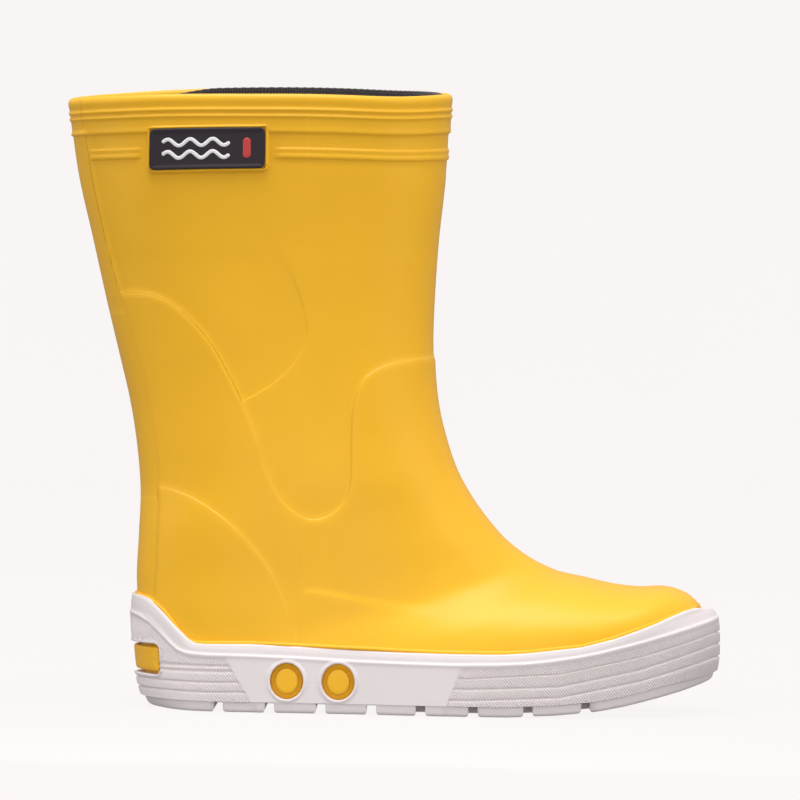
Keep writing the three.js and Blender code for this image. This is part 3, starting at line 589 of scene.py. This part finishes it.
# ------------------------------------------------------------------ lining and insole
def lining():
    """Knit lining, rolled over at the rim, with small loops along its edge."""
    columns = 440
    angle = 2 * np.pi * np.arange(columns) / columns
    rows, v = [], []

    def add(u, out, up, length):
        u = np.broadcast_to(u, (columns,))
        loops = (0.1 if length < -3.5 else 0) * np.cos(147 * angle)
        p = leg(u, angle) + leg_out(u, angle) * (out + loops)[:, None]
        p[:, 2] += up + loops
        rows.append(p)
        v.append(length)

    outer, inner = -(WALL + 0.05), -(WALL + GAP + LINING)
    middle, reach = (outer + inner) / 2, (outer - inner) / 2
    rim = leg(0.0, angle)
    top = 0.5 + 2.2 * smooth(26, 2, rim[:, 0]) - 0.3 * smooth(0, 10, rim[:, 1])
    for d in (14, 8, 5, 4):
        add(d / BELOW_RIM, outer, 0, -8 - d)
    for k in np.linspace(0, math.pi, 9):
        add(top / BELOW_RIM, middle + reach * math.cos(k), 0.7 * math.sin(k), -7 + k)
    length = -3.0
    for u in np.concatenate([np.arange(3.2, 24, 1.0) / BELOW_RIM, np.linspace(1, 19.8, 150)]):
        add(u, inner, 0, length)
        length += np.linalg.norm(rows[-1] - rows[-2], axis=1).mean()
        v[-1] = length
    count = len(rows)
    points = np.concatenate(rows + [rows[-1].mean(0)[None]])
    around = np.tile(np.arange(columns) / columns * 300.3, count)
    uv = np.stack([np.append(around, 0), np.append(np.repeat(v, columns), length)], 1)
    faces = [tuple(f)[::-1] for f in capped_grid(count, columns)]
    piece("lining", points, faces, KNIT, ["lining_sock"], "knit_lining", uv={"along": uv})


def footbed(name, low, high, material, node, slot, crown=0.0):
    """A shaped pad between two heights over the insole's own, fitted inside the lining."""
    skin = WALL + 3 * GAP + LINING
    xs = 14 + (175 - 14) * (0.5 - 0.5 * np.cos(np.linspace(0, np.pi, 90)))
    ts = np.linspace(-1, 1, 41)
    layers, uv = [], []
    for over, raise_ in ((high, crown), (low, 0)):
        z = along(INSOLE_TOP, xs) + over
        half = np.maximum(half_width(xs, z + 1) - skin, 0.3)
        end = np.clip(np.minimum(xs - 12.0, 178.0 - xs) / 26, 0, 1)
        half = np.minimum(half, 27 * np.sqrt(1 - (1 - end) ** 2.4) + 0.3)
        y = ts[None, :] * half[:, None]
        edge = np.abs(ts[None, :]) ** 6
        zz = z[:, None] + raise_ * (0.9 * np.abs(ts[None, :]) ** 3 - 1.1 * edge)
        layers.append(np.stack([np.broadcast_to(xs[:, None], y.shape), y, zz], -1).reshape(-1, 3))
        uv.append(layers[-1][:, :2])
    n = len(layers[0])
    top = grid_faces(90, 41, False)
    faces = [tuple(f)[::-1] for f in top] + [tuple(f + n) for f in top]
    rim = list(range(41)) + [r * 41 + 40 for r in range(1, 90)]
    rim += [89 * 41 + i for i in range(39, -1, -1)] + [r * 41 for r in range(88, 0, -1)]
    for a, b in zip(rim, rim[1:] + rim[:1]):
        faces.append((a, b, b + n, a + n))
    across = {"along": np.concatenate(uv)}
    made = piece(name, np.concatenate(layers), faces, material, [node], slot, uv=across)
    bevel = made.modifiers.new("soft edge", "BEVEL")
    bevel.width, bevel.segments = 0.0003, 2
    bevel.limit_method, bevel.angle_limit = "ANGLE", math.radians(50)


# ------------------------------------------------------------------ outsole
def sole_loop():
    """The outline as a closed smooth line, with the length along it at each point."""
    pts = [(x, -y) for x, y in SOLE_OUTLINE] + [(x, y) for x, y in SOLE_OUTLINE[-2:0:-1]]
    p = np.array(pts, float)
    out = []
    for i in range(len(p)):
        p0, p1, p2, p3 = (p[(i + k) % len(p)] for k in (-1, 0, 1, 2))
        d0, d1, d2 = (np.linalg.norm(b - a) ** 0.5 for a, b in ((p0, p1), (p1, p2), (p2, p3)))
        t1 = ((p1 - p0) / d0 - (p2 - p0) / (d0 + d1) + (p2 - p1) / d1) * d1
        t2 = ((p2 - p1) / d1 - (p3 - p1) / (d1 + d2) + (p3 - p2) / d2) * d1
        t = np.linspace(0, 1, 120, endpoint=False)[:, None]
        out.append((2 * t ** 3 - 3 * t ** 2 + 1) * p1 + (t ** 3 - 2 * t ** 2 + t) * t1
                   + (-2 * t ** 3 + 3 * t ** 2) * p2 + (t ** 3 - t ** 2) * t2)
    loop = np.concatenate(out)
    closed = np.vstack([loop, loop[:1]])
    length = np.concatenate([[0], np.cumsum(np.linalg.norm(np.diff(closed, axis=0), axis=1))])
    return closed, length


LOOP, LOOP_LENGTH = sole_loop()
ROUND = LOOP_LENGTH[-1]
HALF = len(LOOP) // 2


def length_at(x):
    """Length along the outline, from the heel round the outer side, at an x."""
    return np.interp(x, LOOP[:HALF, 0], LOOP_LENGTH[:HALF])


def loop_at(s):
    s = np.mod(s, ROUND)
    return np.stack([np.interp(s, LOOP_LENGTH, LOOP[:, 0]), np.interp(s, LOOP_LENGTH, LOOP[:, 1])], -1)


def loop_out(s):
    d = loop_at(s + 0.6) - loop_at(s - 0.6)
    n = np.stack([d[..., 1], -d[..., 0]], -1)
    return n / np.linalg.norm(n, axis=-1, keepdims=True)


def grip_zone(x, z):
    """1 on the ribbed heel and forefoot, 0 on the smooth panel between."""
    heel_end = 42.3 - 0.62 * (z - 3)
    front_start = 105.4 + 0.38 * (z - 3)
    return np.where(x < 75, smooth(0.25, -0.25, x - heel_end), smooth(-0.25, 0.25, x - front_start))


def foot_high(x):
    """Height of the tread blocks under the side wall."""
    return TREAD_HIGH - 1.2 * smooth(176, 196, x)


def wall_inset(x, z):
    """How far the wall lies inside the outline: bevelled heel and toe, draft, bead and top edge."""
    bottom, bead, top = along(SOLE_BOTTOM, x), along(SOLE_BEAD, x), along(SOLE_TOP, x)
    share = (z - bottom) / (bead - bottom)
    heel, toe = 1 - smooth(0, 26, x), smooth(168, 195, x)
    heel_in = np.interp(z, [0, 1.2, 3.6, 7, 11, 16, 22, 26, 31], [5.6, 4.6, 3.6, 2.5, 1.7, 1.1, 0.5, 0.15, 0])
    toe_in = np.interp(share, [0, 0.2, 0.35, 0.6, 0.85, 1, 1.1, 1.2], [0.9, 0.3, 0, 0.0, 0.3, 0.9, 1.7, 2.6])
    inset = np.interp(share, [0, 0.1, 0.4, 0.9, 1], [0.55, 0.45, 0.4, 0.28, 0.22])
    above = z - bead
    inset = inset + 0.3 * smooth(0.2, 0.9, above) + 0.3 * smooth(0.5, 1, above / (top - bead))
    inset = inset - 0.18 * bell(above, 0, 0.42)
    return inset + heel * heel_in * smooth(26, 8, x) ** 0.15 + toe * toe_in


def wall_relief(x, z, lean_s):
    """Grooves and slanted hatch of the ribbed zones, as inward millimetres."""
    near = np.min([np.abs(z - along(line, x)) for line in GROOVES], 0)
    deep = 0.7 * smooth(0.5, 0.1, near)
    hatch = HATCH_DEEP * (0.5 + 0.5 * np.cos(2 * np.pi * lean_s / HATCH_PITCH))
    hatch = hatch * smooth(0.7, 1.2, along(SOLE_BEAD, x) - z)
    return grip_zone(x, z) * np.maximum(deep, np.where(deep > 0.1, 0, hatch))


def lean_share(x):
    """How fully the wall's columns lean with the hatch: upright round the side windows."""
    return 1 - smooth(40, 64, x) * (1 - smooth(74, 104, x))


def wall_point(s, z, extra=0.0, lean_s=None, ribbed=True):
    """Point of the wall, an extra distance inside it."""
    xy = loop_at(s)
    x = xy[..., 0]
    lean_s = s + HATCH_LEAN * (z - 10) if lean_s is None else lean_s
    inset = wall_inset(x, z) + (wall_relief(x, z, lean_s) if ribbed else 0) + extra
    q = xy - loop_out(s) * inset[..., None]
    return np.concatenate([q, np.broadcast_to(z, x.shape)[..., None]], -1)


def wall_columns():
    """Lengths of the wall's columns: four to a hatch line, one on the smooth panel."""
    s, out = 0.0, []
    while s < ROUND - 0.15:
        out.append(s)
        on_panel = 50 < loop_at(s)[0] < 95
        s += HATCH_PITCH if on_panel else HATCH_PITCH / 4
    return np.array(out)


def wall_keys(x):
    """Heights that the wall's rows follow: foot, both edges of each groove, bead and top."""
    g = [along(line, x) for line in GROOVES]
    bead, top = along(SOLE_BEAD, x), along(SOLE_TOP, x)
    keys = [along(SOLE_BOTTOM, x) + foot_high(x) + 0.1]
    for low, high in zip(g[:3], g[:2] + g[3:]):
        keys += [low - 0.5, high + 0.5]
    return keys + [bead - 1.0, bead + 1.0, top]


KEY_STEPS = [4, 6, 4, 6, 4, 8, 8, 8, 5]   # rows between one height and the next


def ports():
    """Openings in the wall as (node that fills it, outline as length along the wall and height)."""
    found = []
    t = np.linspace(0, 2 * np.pi, 73)[:-1]
    oval = np.stack([PORTS["half"][0] * np.cos(t), PORTS["half"][1] * np.sin(t)], -1)
    for side in ("outer", "inner"):
        for x, end in zip(PORTS["x"], ("rear", "front")):
            s = length_at(x) if side == "outer" else ROUND - length_at(x)
            found.append((f"side_plug_{side}_{end}", oval + [s, PORTS["z"]]))
    reach = length_at(HEEL_PORT["x"])
    found.append(("heel_insert", rounded(-reach, reach, *HEEL_PORT["z"], HEEL_PORT["round"], 0.45)))
    return found


def rounded(x0, x1, z0, z1, r, step=0.5):
    """Outline of a rectangle with round corners, evenly dotted, anticlockwise."""
    out = []
    corners = [(x1 - r, z0 + r, -90), (x1 - r, z1 - r, 0), (x0 + r, z1 - r, 90), (x0 + r, z0 + r, 180)]
    for cx, cz, a in corners:
        for k in range(9):
            t = math.radians(a + 11.25 * k)
            out.append((cx + r * math.cos(t), cz + r * math.sin(t)))
    dense = []
    for (ax, az), (bx, bz) in zip(out, out[1:] + out[:1]):
        n = max(1, int(round(math.hypot(bx - ax, bz - az) / step)))
        dense += [(ax + (bx - ax) * k / n, az + (bz - az) * k / n) for k in range(n)]
    return np.array(dense)


def grown(ring, by):
    """A ring of points moved outwards by a distance."""
    t = np.roll(ring, -1, 0) - np.roll(ring, 1, 0)
    n = np.stack([t[:, 1], -t[:, 0]], -1)
    return ring + by * n / np.linalg.norm(n, axis=1, keepdims=True)


def belt(upper_ids, lower_ids):
    """Quads between two closed runs of points."""
    pairs = list(zip(upper_ids, lower_ids))
    return [(a, c, d, b) for (a, b), (c, d) in zip(pairs, pairs[1:] + pairs[:1])]


def fill(loops, spare, hole=()):
    """Triangles inside the first of some loops of points and outside the hole, with spare points.

    Returns the points, the triangles, and the new number of each point given.
    """
    pts, edges, n = [], [], 0
    for loop in loops:
        pts += [Vector(p) for p in loop]
        edges += [(n + i, n + (i + 1) % len(loop)) for i in range(len(loop))]
        n += len(loop)
    pts += [Vector(p) for p in spare]
    verts, _, tris, origin, _, _ = delaunay_2d_cdt(pts, edges, [], 0, 1e-6)
    v = np.array([tuple(p) for p in verts])
    t = np.array([f for f in tris if len(f) == 3])
    x, z = v[t].mean(1).T
    keep = inside(x, z, [tuple(p) for p in loops[0]]) & ~inside(x, z, list(hole))
    return v, t[keep], {old: new for new, olds in enumerate(origin) for old in olds}


def outsole():
    """Side wall with its ribs and windows, rounded top edge, ledge under the foot, and underside."""
    s0 = wall_columns()
    cols = len(s0)
    total = sum(KEY_STEPS) + 1
    z = np.zeros((total, cols))
    s = np.broadcast_to(s0, (total, cols))
    for _ in range(4):
        x = loop_at(s)[..., 0]
        keys = np.stack(wall_keys(x))
        start = 0
        for k, n in enumerate(KEY_STEPS):
            t = np.arange(n + (k == len(KEY_STEPS) - 1)) / n
            rows = slice(start, start + len(t))
            z[rows] = keys[k][rows] * (1 - t[:, None]) + keys[k + 1][rows] * t[:, None]
            start += n
        s = s0 - HATCH_LEAN * (z - 10) * lean_share(loop_at(s0)[..., 0])
    points = wall_point(s, z, lean_s=s0)
    flat = np.stack([np.mod(s + ROUND / 2, ROUND) - ROUND / 2, z], -1).reshape(-1, 2)
    faces = grid_faces(total, cols)
    verts = [points.reshape(-1, 3)]
    n = total * cols
    extra_faces = []
    for name, ring in ports():
        wrap = 0.0 if name == "heel_insert" else ring[:, 0].mean()
        own = flat.copy()
        own[:, 0] = np.mod(own[:, 0] - wrap + ROUND / 2, ROUND) - ROUND / 2 + wrap
        clear = [tuple(p) for p in grown(ring, 1.35)]
        hit = inside(own[:, 0], own[:, 1], clear)
        near = hit[faces].any(1)
        cut, faces = faces[near], faces[~near]
        count = {}
        for f in cut:
            for a, b in zip(f, np.roll(f, -1)):
                if (b, a) in count:
                    del count[(b, a)]
                else:
                    count[(a, b)] = True
        follow = {a: b for a, b in count}
        loop = [next(iter(follow))]
        while follow[loop[-1]] != loop[0]:
            loop.append(follow[loop[-1]])
        edge = own[loop]
        rings = [grown(ring, g) for g in (1.0, 0.7, 0.42, 0.18, 0.0)]
        hole = [tuple(p) for p in ring]
        v, t, where = fill([edge] + rings, [], hole)
        gap = line_distance(v[:, 0], v[:, 1], hole + hole[:1])
        raised = 0.28 * smooth(1.05, 0.62, gap) - 0.16 * smooth(0.2, 0.0, gap)
        p = wall_point(v[:, 0], v[:, 1], -raised)
        ids = np.arange(len(v)) + n
        for k, g in enumerate(loop):
            ids[where[k]] = g
            p[where[k]] = verts[0][g]
        extra_faces += [tuple(ids[f]) for f in t]
        verts.append(p)
        base = len(edge) + sum(len(r) for r in rings[:-1])
        lipped = [ids[where[base + k]] for k in range(len(ring))]
        n += len(v)
        for down, narrow in ((0.3, 0.03), (0.9, 0.06), (1.8, 0.1), (3.5, 0.15)):
            g = grown(ring, -narrow)
            verts.append(wall_point(g[:, 0], g[:, 1], down, ribbed=False))
            ring_ids = list(range(n, n + len(g)))
            extra_faces += belt(lipped, ring_ids)
            lipped = ring_ids
            n += len(g)
    # Rounded top edge, then the ledge running in under the foot.
    top = list(range((total - 1) * cols, total * cols))
    x_top = loop_at(s[-1])[..., 0]
    reach = 3.4 + 5.5 * smooth(176, 193, x_top) + 2.2 * (1 - smooth(0, 12, x_top))
    for inwards, up in ((0.25, 0.12), (0.55, 0.16), (reach, -0.35)):
        verts.append(wall_point(s[-1], z[-1], inwards, lean_s=0.0) + [0, 0, up])
        ids = list(range(n, n + cols))
        extra_faces += belt(top, ids)
        top = ids
        n += cols
    # Underside between the tread blocks.
    half = np.linspace(0, ROUND / 2, 160)
    under = loop_at(half)[..., 0]
    near = wall_point(half, along(SOLE_BOTTOM, under) + foot_high(under) + 0.1, lean_s=0.0)
    near[[0, -1], 1] = 0
    far = near * [1, -1, 1]
    verts += [near, far]
    for k in range(159):
        extra_faces.append((n + k, n + k + 1, n + 160 + k + 1, n + 160 + k))
    return np.concatenate(verts), list(faces) + extra_faces


def block_height(x, up=None):
    """Height over the tread's bottom line, or of the blocks' hidden top edge."""
    return along(SOLE_BOTTOM, x) + (foot_high(x) + 0.3 if up is None else up)


def tread_blocks():
    """Transverse blocks between the grooves, each with rounded edges."""
    points, faces, n = [], [], 0
    edges = [-5] + [v for x in TREAD_AT for v in (x - TREAD_WIDE / 2, x + TREAD_WIDE / 2)] + [205]
    for x0, x1 in zip(edges[::2], edges[1::2]):
        rings = []
        for up, inset in ((None, 0.0), (1.1, 0.05), (0.5, 0.2), (0.15, 0.5), (0.0, 1.0)):
            s = length_at(np.linspace(x0 + inset, x1 - inset, 26))
            if x0 < 0:
                s = np.linspace(0, s[-1], 26)
            if x1 > 200:
                s = np.linspace(s[0], ROUND / 2, 26)
            x = loop_at(s)[..., 0]
            set_in = inset + 0.35 + 0.5 * smooth(22, 4, x) + 0.6 * smooth(178, 194, x)
            p = wall_point(s, block_height(x, up), set_in, lean_s=0.0)
            p[:, 2] = block_height(p[:, 0], up)
            rings.append(np.concatenate([p, (p * [1, -1, 1])[::-1]]))
        size = len(rings[0])
        points += rings
        faces += [tuple(f) for f in grid_faces(len(rings), size, True, n)]
        last = n + (len(rings) - 1) * size
        for k in range(size // 2 - 1):
            faces.append((last + k, last + size - 1 - k, last + size - 2 - k, last + k + 1))
        n += size * len(rings)
    return np.concatenate(points), faces


def tread_spine():
    """Spine that closes the tread grooves along the middle of the sole, shallower under the heel."""
    x = np.linspace(24, 158, 120)
    inner = np.interp(x, LOOP[:HALF, 0], -LOOP[:HALF, 1]) - TREAD_NOTCH
    low = along(SOLE_BOTTOM, x) + 0.5 + 1.8 * smooth(94, 84, x)
    high = block_height(x)
    corners = [(-inner, high), (-inner, low + 0.4), (0.4 - inner, low), (inner - 0.4, low),
               (inner, low + 0.4), (inner, high)]
    points = np.stack([np.stack([x, y, z], -1) for y, z in corners], 1).reshape(-1, 3)
    faces = [tuple(f) for f in grid_faces(len(x), len(corners))]
    faces += [tuple(range(len(corners))), tuple(len(points) - 1 - k for k in range(len(corners)))]
    return points, outward(points, faces)


def plug(name, ring):
    """Yellow button in a wall opening: a sloping seat and a raised, slightly crowned face."""
    heel = name == "heel_insert"
    middle = ring.mean(0)
    if heel:
        steps = [
            (-0.1, 3.4), (-1.7, 3.5), (-1.5, 2.2), (-1.1, 1.3), (-1.2, 1.0), (-1.4, 0.8), (-1.8, 0.64),
            (-2.6, 0.6), (-3.6, 0.6), (-4.4, 0.6)]
    else:
        steps = [
            (-0.1, 2.7), (-0.3, 2.5), (-0.8, 2.3), (-1.35, 2.0), (-1.6, 1.7), (-1.74, 1.2),
            (-1.86, 0.78), (-2.1, 0.56), (-2.5, 0.47), (-3.2, 0.44), (-4.2, 0.42)]
    rows = []
    for by, deep in steps:
        g = grown(ring, by)
        if heel and by < -1.7:
            z0, z1 = HEEL_PORT["z"]
            k = (z1 - z0) / 2 + by
            g = np.stack([np.clip(ring[:, 0], ring[:, 0].min() - by, ring[:, 0].max() + by),
                          middle[1] + np.clip(ring[:, 1] - middle[1], -k, k)], -1)
        rows.append(wall_point(g[:, 0], g[:, 1], deep, ribbed=False))
    if not heel:
        for share in (0.7, 0.35):
            q = middle + share * (g - middle)
            rows.append(wall_point(q[:, 0], q[:, 1], 0.41, ribbed=False))
    size = len(ring)
    points = np.concatenate(rows)
    faces = [tuple(f) for f in grid_faces(len(rows), size)]
    last = (len(rows) - 1) * size
    if heel:
        faces += strip_fill(ring, last)
    else:
        faces.append(tuple(last + i for i in range(size)))
    return points, faces


def strip_fill(ring, base):
    """Joins the lower and upper runs of a long flat ring straight across."""
    left, right = int(ring[:, 0].argmin()), int(ring[:, 0].argmax())
    size = len(ring)
    lower = [(left + k) % size for k in range((right - left) % size + 1)]
    upper_run = [(left - k) % size for k in range((left - right) % size + 1)]
    faces, i, j = [], 0, 0
    while i < len(lower) - 1 or j < len(upper_run) - 1:
        a = ring[lower[min(i + 1, len(lower) - 1)], 0]
        b = ring[upper_run[min(j + 1, len(upper_run) - 1)], 0]
        if j == len(upper_run) - 1 or (i < len(lower) - 1 and a <= b):
            face = (base + lower[i], base + lower[i + 1], base + upper_run[j])
            i += 1
        else:
            face = (base + lower[i], base + upper_run[j + 1], base + upper_run[j])
            j += 1
        if len(set(face)) == 3:
            faces.append(face)
    return faces


# ------------------------------------------------------------------ badge
def tilt(x, z):
    """Height on the badge turned with the badge."""
    return z + BADGE["tilt"] * (x - BADGE["x"][0])


def raised_patch(name, rings, height, foot, step, material, replaces, slot):
    """Thin piece lying on the outer side of the leg, with its own height over the plain skin."""
    ring = rings[0]
    lo, hi = ring.min(0), ring.max(0)
    gx, gz = np.meshgrid(np.arange(lo[0], hi[0], step), np.arange(lo[1], hi[1], step))
    middle = [tuple(p) for p in rings[-1]]
    far = line_distance(gx, gz, middle + middle[:1])
    free = inside(gx, gz, middle) & (far > step * 0.45)
    v, t, where = fill(rings, np.stack([gx[free], gz[free]], -1))
    top = on_side(v[:, 0], tilt(v[:, 0], v[:, 1]), height(v[:, 0], v[:, 1]))
    low = on_side(ring[:, 0], tilt(ring[:, 0], ring[:, 1]), foot)
    rim = [where[k] for k in range(len(ring))]
    faces = list(t) + belt(range(len(v), len(v) + len(rim)), rim)
    piece(name, np.concatenate([top, low]), faces, material, replaces, slot)


def badge():
    """Yellow frame, dark plate with a raised edge, and the generic decoration on it."""
    (x0, x1), (z0, z1), r = BADGE["x"], BADGE["z"], BADGE["round"]
    foot_of_edge, edge, sunk = 1.55, 0.28, 0.24   # the plate's profile from its rim inwards
    face = foot_of_edge + edge - sunk

    def boxes(*grows):
        return [rounded(x0 - g, x1 + g, z0 - g, z1 + g, max(0.3, r + g), 0.6) for g in grows]

    def beyond(x, z):
        """Distance outside the badge's sides, negative inside them."""
        return np.maximum(np.maximum(x0 - x, x - x1), np.maximum(z0 - z, z - z1))

    def frame_height(x, z):
        g = beyond(x, z)
        ridge = 0.85 * smooth(-0.15, 0.1, g) * smooth(0.95, 0.6, g)
        return 0.55 * smooth(1.5, 1.0, g) + ridge - 0.6 * smooth(1.2, 1.5, g)

    def plate_height(x, z):
        g = -beyond(x, z)
        return foot_of_edge + edge * smooth(0.0, 0.35, g) - sunk * smooth(1.0, 1.35, g)

    raised_patch("badge_frame", boxes(1.5, 1.2, 1.0, 0.7, 0.35, 0.1, -0.15, -1.2), frame_height,
                 -1.2, 1.4, YELLOW, (), "yellow_pvc")
    raised_patch("badge_plate_detailed", boxes(-0.12, -0.3, -0.5, -0.95, -1.2, -1.4), plate_height,
                 0.8, 1.0, DARK, ["badge_plate"], "badge_dark")

    def ribbon(name, middle, width, material, node, slot, high=0.3):
        """Raised stroke with a domed section and round ends."""
        line = np.stack(middle, -1)
        t = np.gradient(line, axis=0)
        t /= np.linalg.norm(t, axis=1, keepdims=True)
        n = np.stack([-t[:, 1], t[:, 0]], -1)
        run = np.concatenate([[0], np.cumsum(np.linalg.norm(np.diff(line, axis=0), axis=1))])
        end = np.clip(np.minimum(run, run[-1] - run) / (width / 2), 0, 1)
        half = width / 2 * np.sqrt(1 - (1 - end) ** 2) + 0.02
        ks = np.linspace(-1, 1, 9)
        p = line[:, None] + n[:, None] * half[:, None, None] * ks[None, :, None]
        dome = high * (1 - np.abs(ks) ** 4)[None] * np.sqrt(np.clip(half / (width / 2), 0.05, 1))[:, None]
        top = on_side(p[..., 0], tilt(p[..., 0], p[..., 1]), face + dome - 0.06)
        piece(name, top.reshape(-1, 3), grid_faces(len(line), len(ks), False), material, [node], slot)

    t = np.linspace(0, 1, 140)
    for name, level in (("badge_wave_upper", 8.8), ("badge_wave_lower", 4.8)):
        wave = (x0 + 4.2 + (x1 - x0 - 15.6) * t, z0 + level + 1.05 * np.sin(t * 6 * np.pi))
        ribbon(name + "_stroke", wave, 1.25, PALE, name, "badge_white")
    bar = (np.full(40, x1 - 5.9), np.linspace(z0 + 3.4, z0 + 10.1, 40))
    ribbon("badge_bar_stroke", bar, 2.6, RED, "badge_bar", "badge_red", 0.35)


# ------------------------------------------------------------------ the boot
upper()
lip_bead()
lining()
footbed("insole_foam_pad", -3.2, -0.05, FOAM, "insole_foam", "insole_foam")
footbed("insole_cover_cloth", 0.1, 1.1, CLOTH, "insole_cover", "insole_cloth", crown=1.0)
piece("outsole_cup", *outsole(), WHITE, ["outsole"], "white_pvc")
piece("outsole_tread", *tread_blocks(), WHITE, (), "white_pvc")
piece("outsole_tread_spine", *tread_spine(), WHITE, (), "white_pvc", flat=True)
for name, ring in ports():
    piece(name + "_button", *plug(name, ring), CORE, [name], "yellow_pvc")
badge()


# ------------------------------------------------------------------ studio
def backdrop():
    """A round pale floor that sweeps up into a wall on every side."""
    profile = [(0, 0), (1.2, 0), (2.2, 0), (2.7, 0.05), (3, 0.25), (3.15, 0.7), (3.2, 1.5), (3.2, 3.2)]
    fine = catmull(np.array(profile), np.linspace(0, len(profile) - 1, 57))
    sides, level = 96, FLOOR - FLOOR_GAP
    turn = np.linspace(0, 2 * np.pi, sides + 1)[:-1]
    rings = [np.stack([r * np.cos(turn), r * np.sin(turn), np.full(sides, max(z, 0) + level)], -1)
             for r, z in fine[1:]]
    verts = np.concatenate(rings + [np.array([[0, 0, level]])])
    faces = [tuple(int(i) for i in f) for f in grid_faces(len(rings), sides)]
    faces += [((i + 1) % sides, i, len(verts) - 1) for i in range(sides)]
    mesh = bpy.data.meshes.new("backdrop")
    mesh.from_pydata(verts.tolist(), [], faces)
    mesh.shade_smooth()
    m, nodes, links, shader = new_material(
        "pale_backdrop", (0.03, 0.03, 0.03), 0.95, Specular_IOR_Level=0.0,
        Emission_Color=(0.97, 0.937, 0.93, 1), Emission_Strength=0.952)
    co = nodes.new("ShaderNodeTexCoord").outputs["Object"]
    cloud = texture(nodes, links, "ShaderNodeTexNoise", co, Scale=3.0, Detail=2.0)
    greys = [(0.3, (0.027, 0.027, 0.027)), (0.7, (0.033, 0.033, 0.033))]
    links.new(ramp(nodes, links, cloud.outputs["Fac"], greys), shader.inputs["Base Color"])
    mesh.materials.append(m)
    floor = bpy.data.objects.new("backdrop", mesh)
    bpy.context.scene.collection.objects.link(floor)
    floor.visible_diffuse = floor.visible_glossy = floor.visible_shadow = False


def lights():
    """Soft light from above, both ends and low in front, with a sky that is brighter overhead."""
    def area(name, at, aim, size, power, sheen=False):
        light = bpy.data.lights.new(name, "AREA")
        light.shape, light.size, light.size_y = "RECTANGLE", size[0], size[1]
        light.energy = power
        o = bpy.data.objects.new(name, light)
        o.location = at
        o.rotation_euler = (Vector(aim) - Vector(at)).to_track_quat("-Z", "Y").to_euler()
        o.visible_camera, o.visible_glossy = False, sheen
        bpy.context.scene.collection.objects.link(o)

    area("top_softbox", (-0.1, -0.3, 1.4), (0.0, 0.0, 0.08), (1.2, 0.8), 16.5, True)
    area("left_softbox", (-1.4, -0.45, 0.45), (0.0, 0.0, 0.1), (0.8, 1.0), 6.6)
    area("right_softbox", (1.3, -0.55, 0.55), (0.0, 0.0, 0.1), (0.7, 0.7), 7.8)
    area("low_card", (-0.03, -0.22, 0.045), (-0.03, 0.0, 0.03), (0.24, 0.05), 0.15)
    area("front_fill", (-0.1, -2.0, 0.5), (0.0, 0.0, 0.1), (1.6, 1.2), 0.6)
    world = bpy.data.worlds.new("studio")
    world.use_nodes = True
    nodes, links = world.node_tree.nodes, world.node_tree.links
    split = nodes.new("ShaderNodeSeparateXYZ")
    links.new(nodes.new("ShaderNodeTexCoord").outputs["Generated"], split.inputs[0])
    level = nodes.new("ShaderNodeMapRange")
    for key, value in (("From Min", 0), ("From Max", 1), ("To Min", 0.29), ("To Max", 0.85)):
        level.inputs[key].default_value = value
    links.new(split.outputs["Z"], level.inputs["Value"])
    ground = nodes["Background"]
    ground.inputs["Color"].default_value = (1.0, 0.985, 0.98, 1)
    links.new(level.outputs["Result"], ground.inputs["Strength"])
    bpy.context.scene.world = world
    bpy.context.scene.view_settings.view_transform = "Standard"


def camera():
    """Level side view from 1.35 m, turned slightly about the line of sight."""
    data = bpy.data.cameras.new("camera")
    data.sensor_width, data.lens = 36.0, 182.8
    data.clip_start, data.clip_end = 0.05, 20
    o = bpy.data.objects.new("camera", data)
    roll, distance = math.radians(0.9), 1.35
    right = Vector((math.cos(roll), 0, math.sin(roll)))
    up = Vector((-math.sin(roll), 0, math.cos(roll)))
    back = Vector((0, -1, 0))
    turn = Matrix((right, up, back)).transposed().to_4x4()
    aim = Vector(((89.0 + HEEL_X) / 1000, 0, FLOOR + 0.1022))
    o.matrix_world = Matrix.Translation(aim + distance * back) @ turn
    bpy.context.scene.collection.objects.link(o)
    bpy.context.scene.camera = o


backdrop()
lights()
camera()
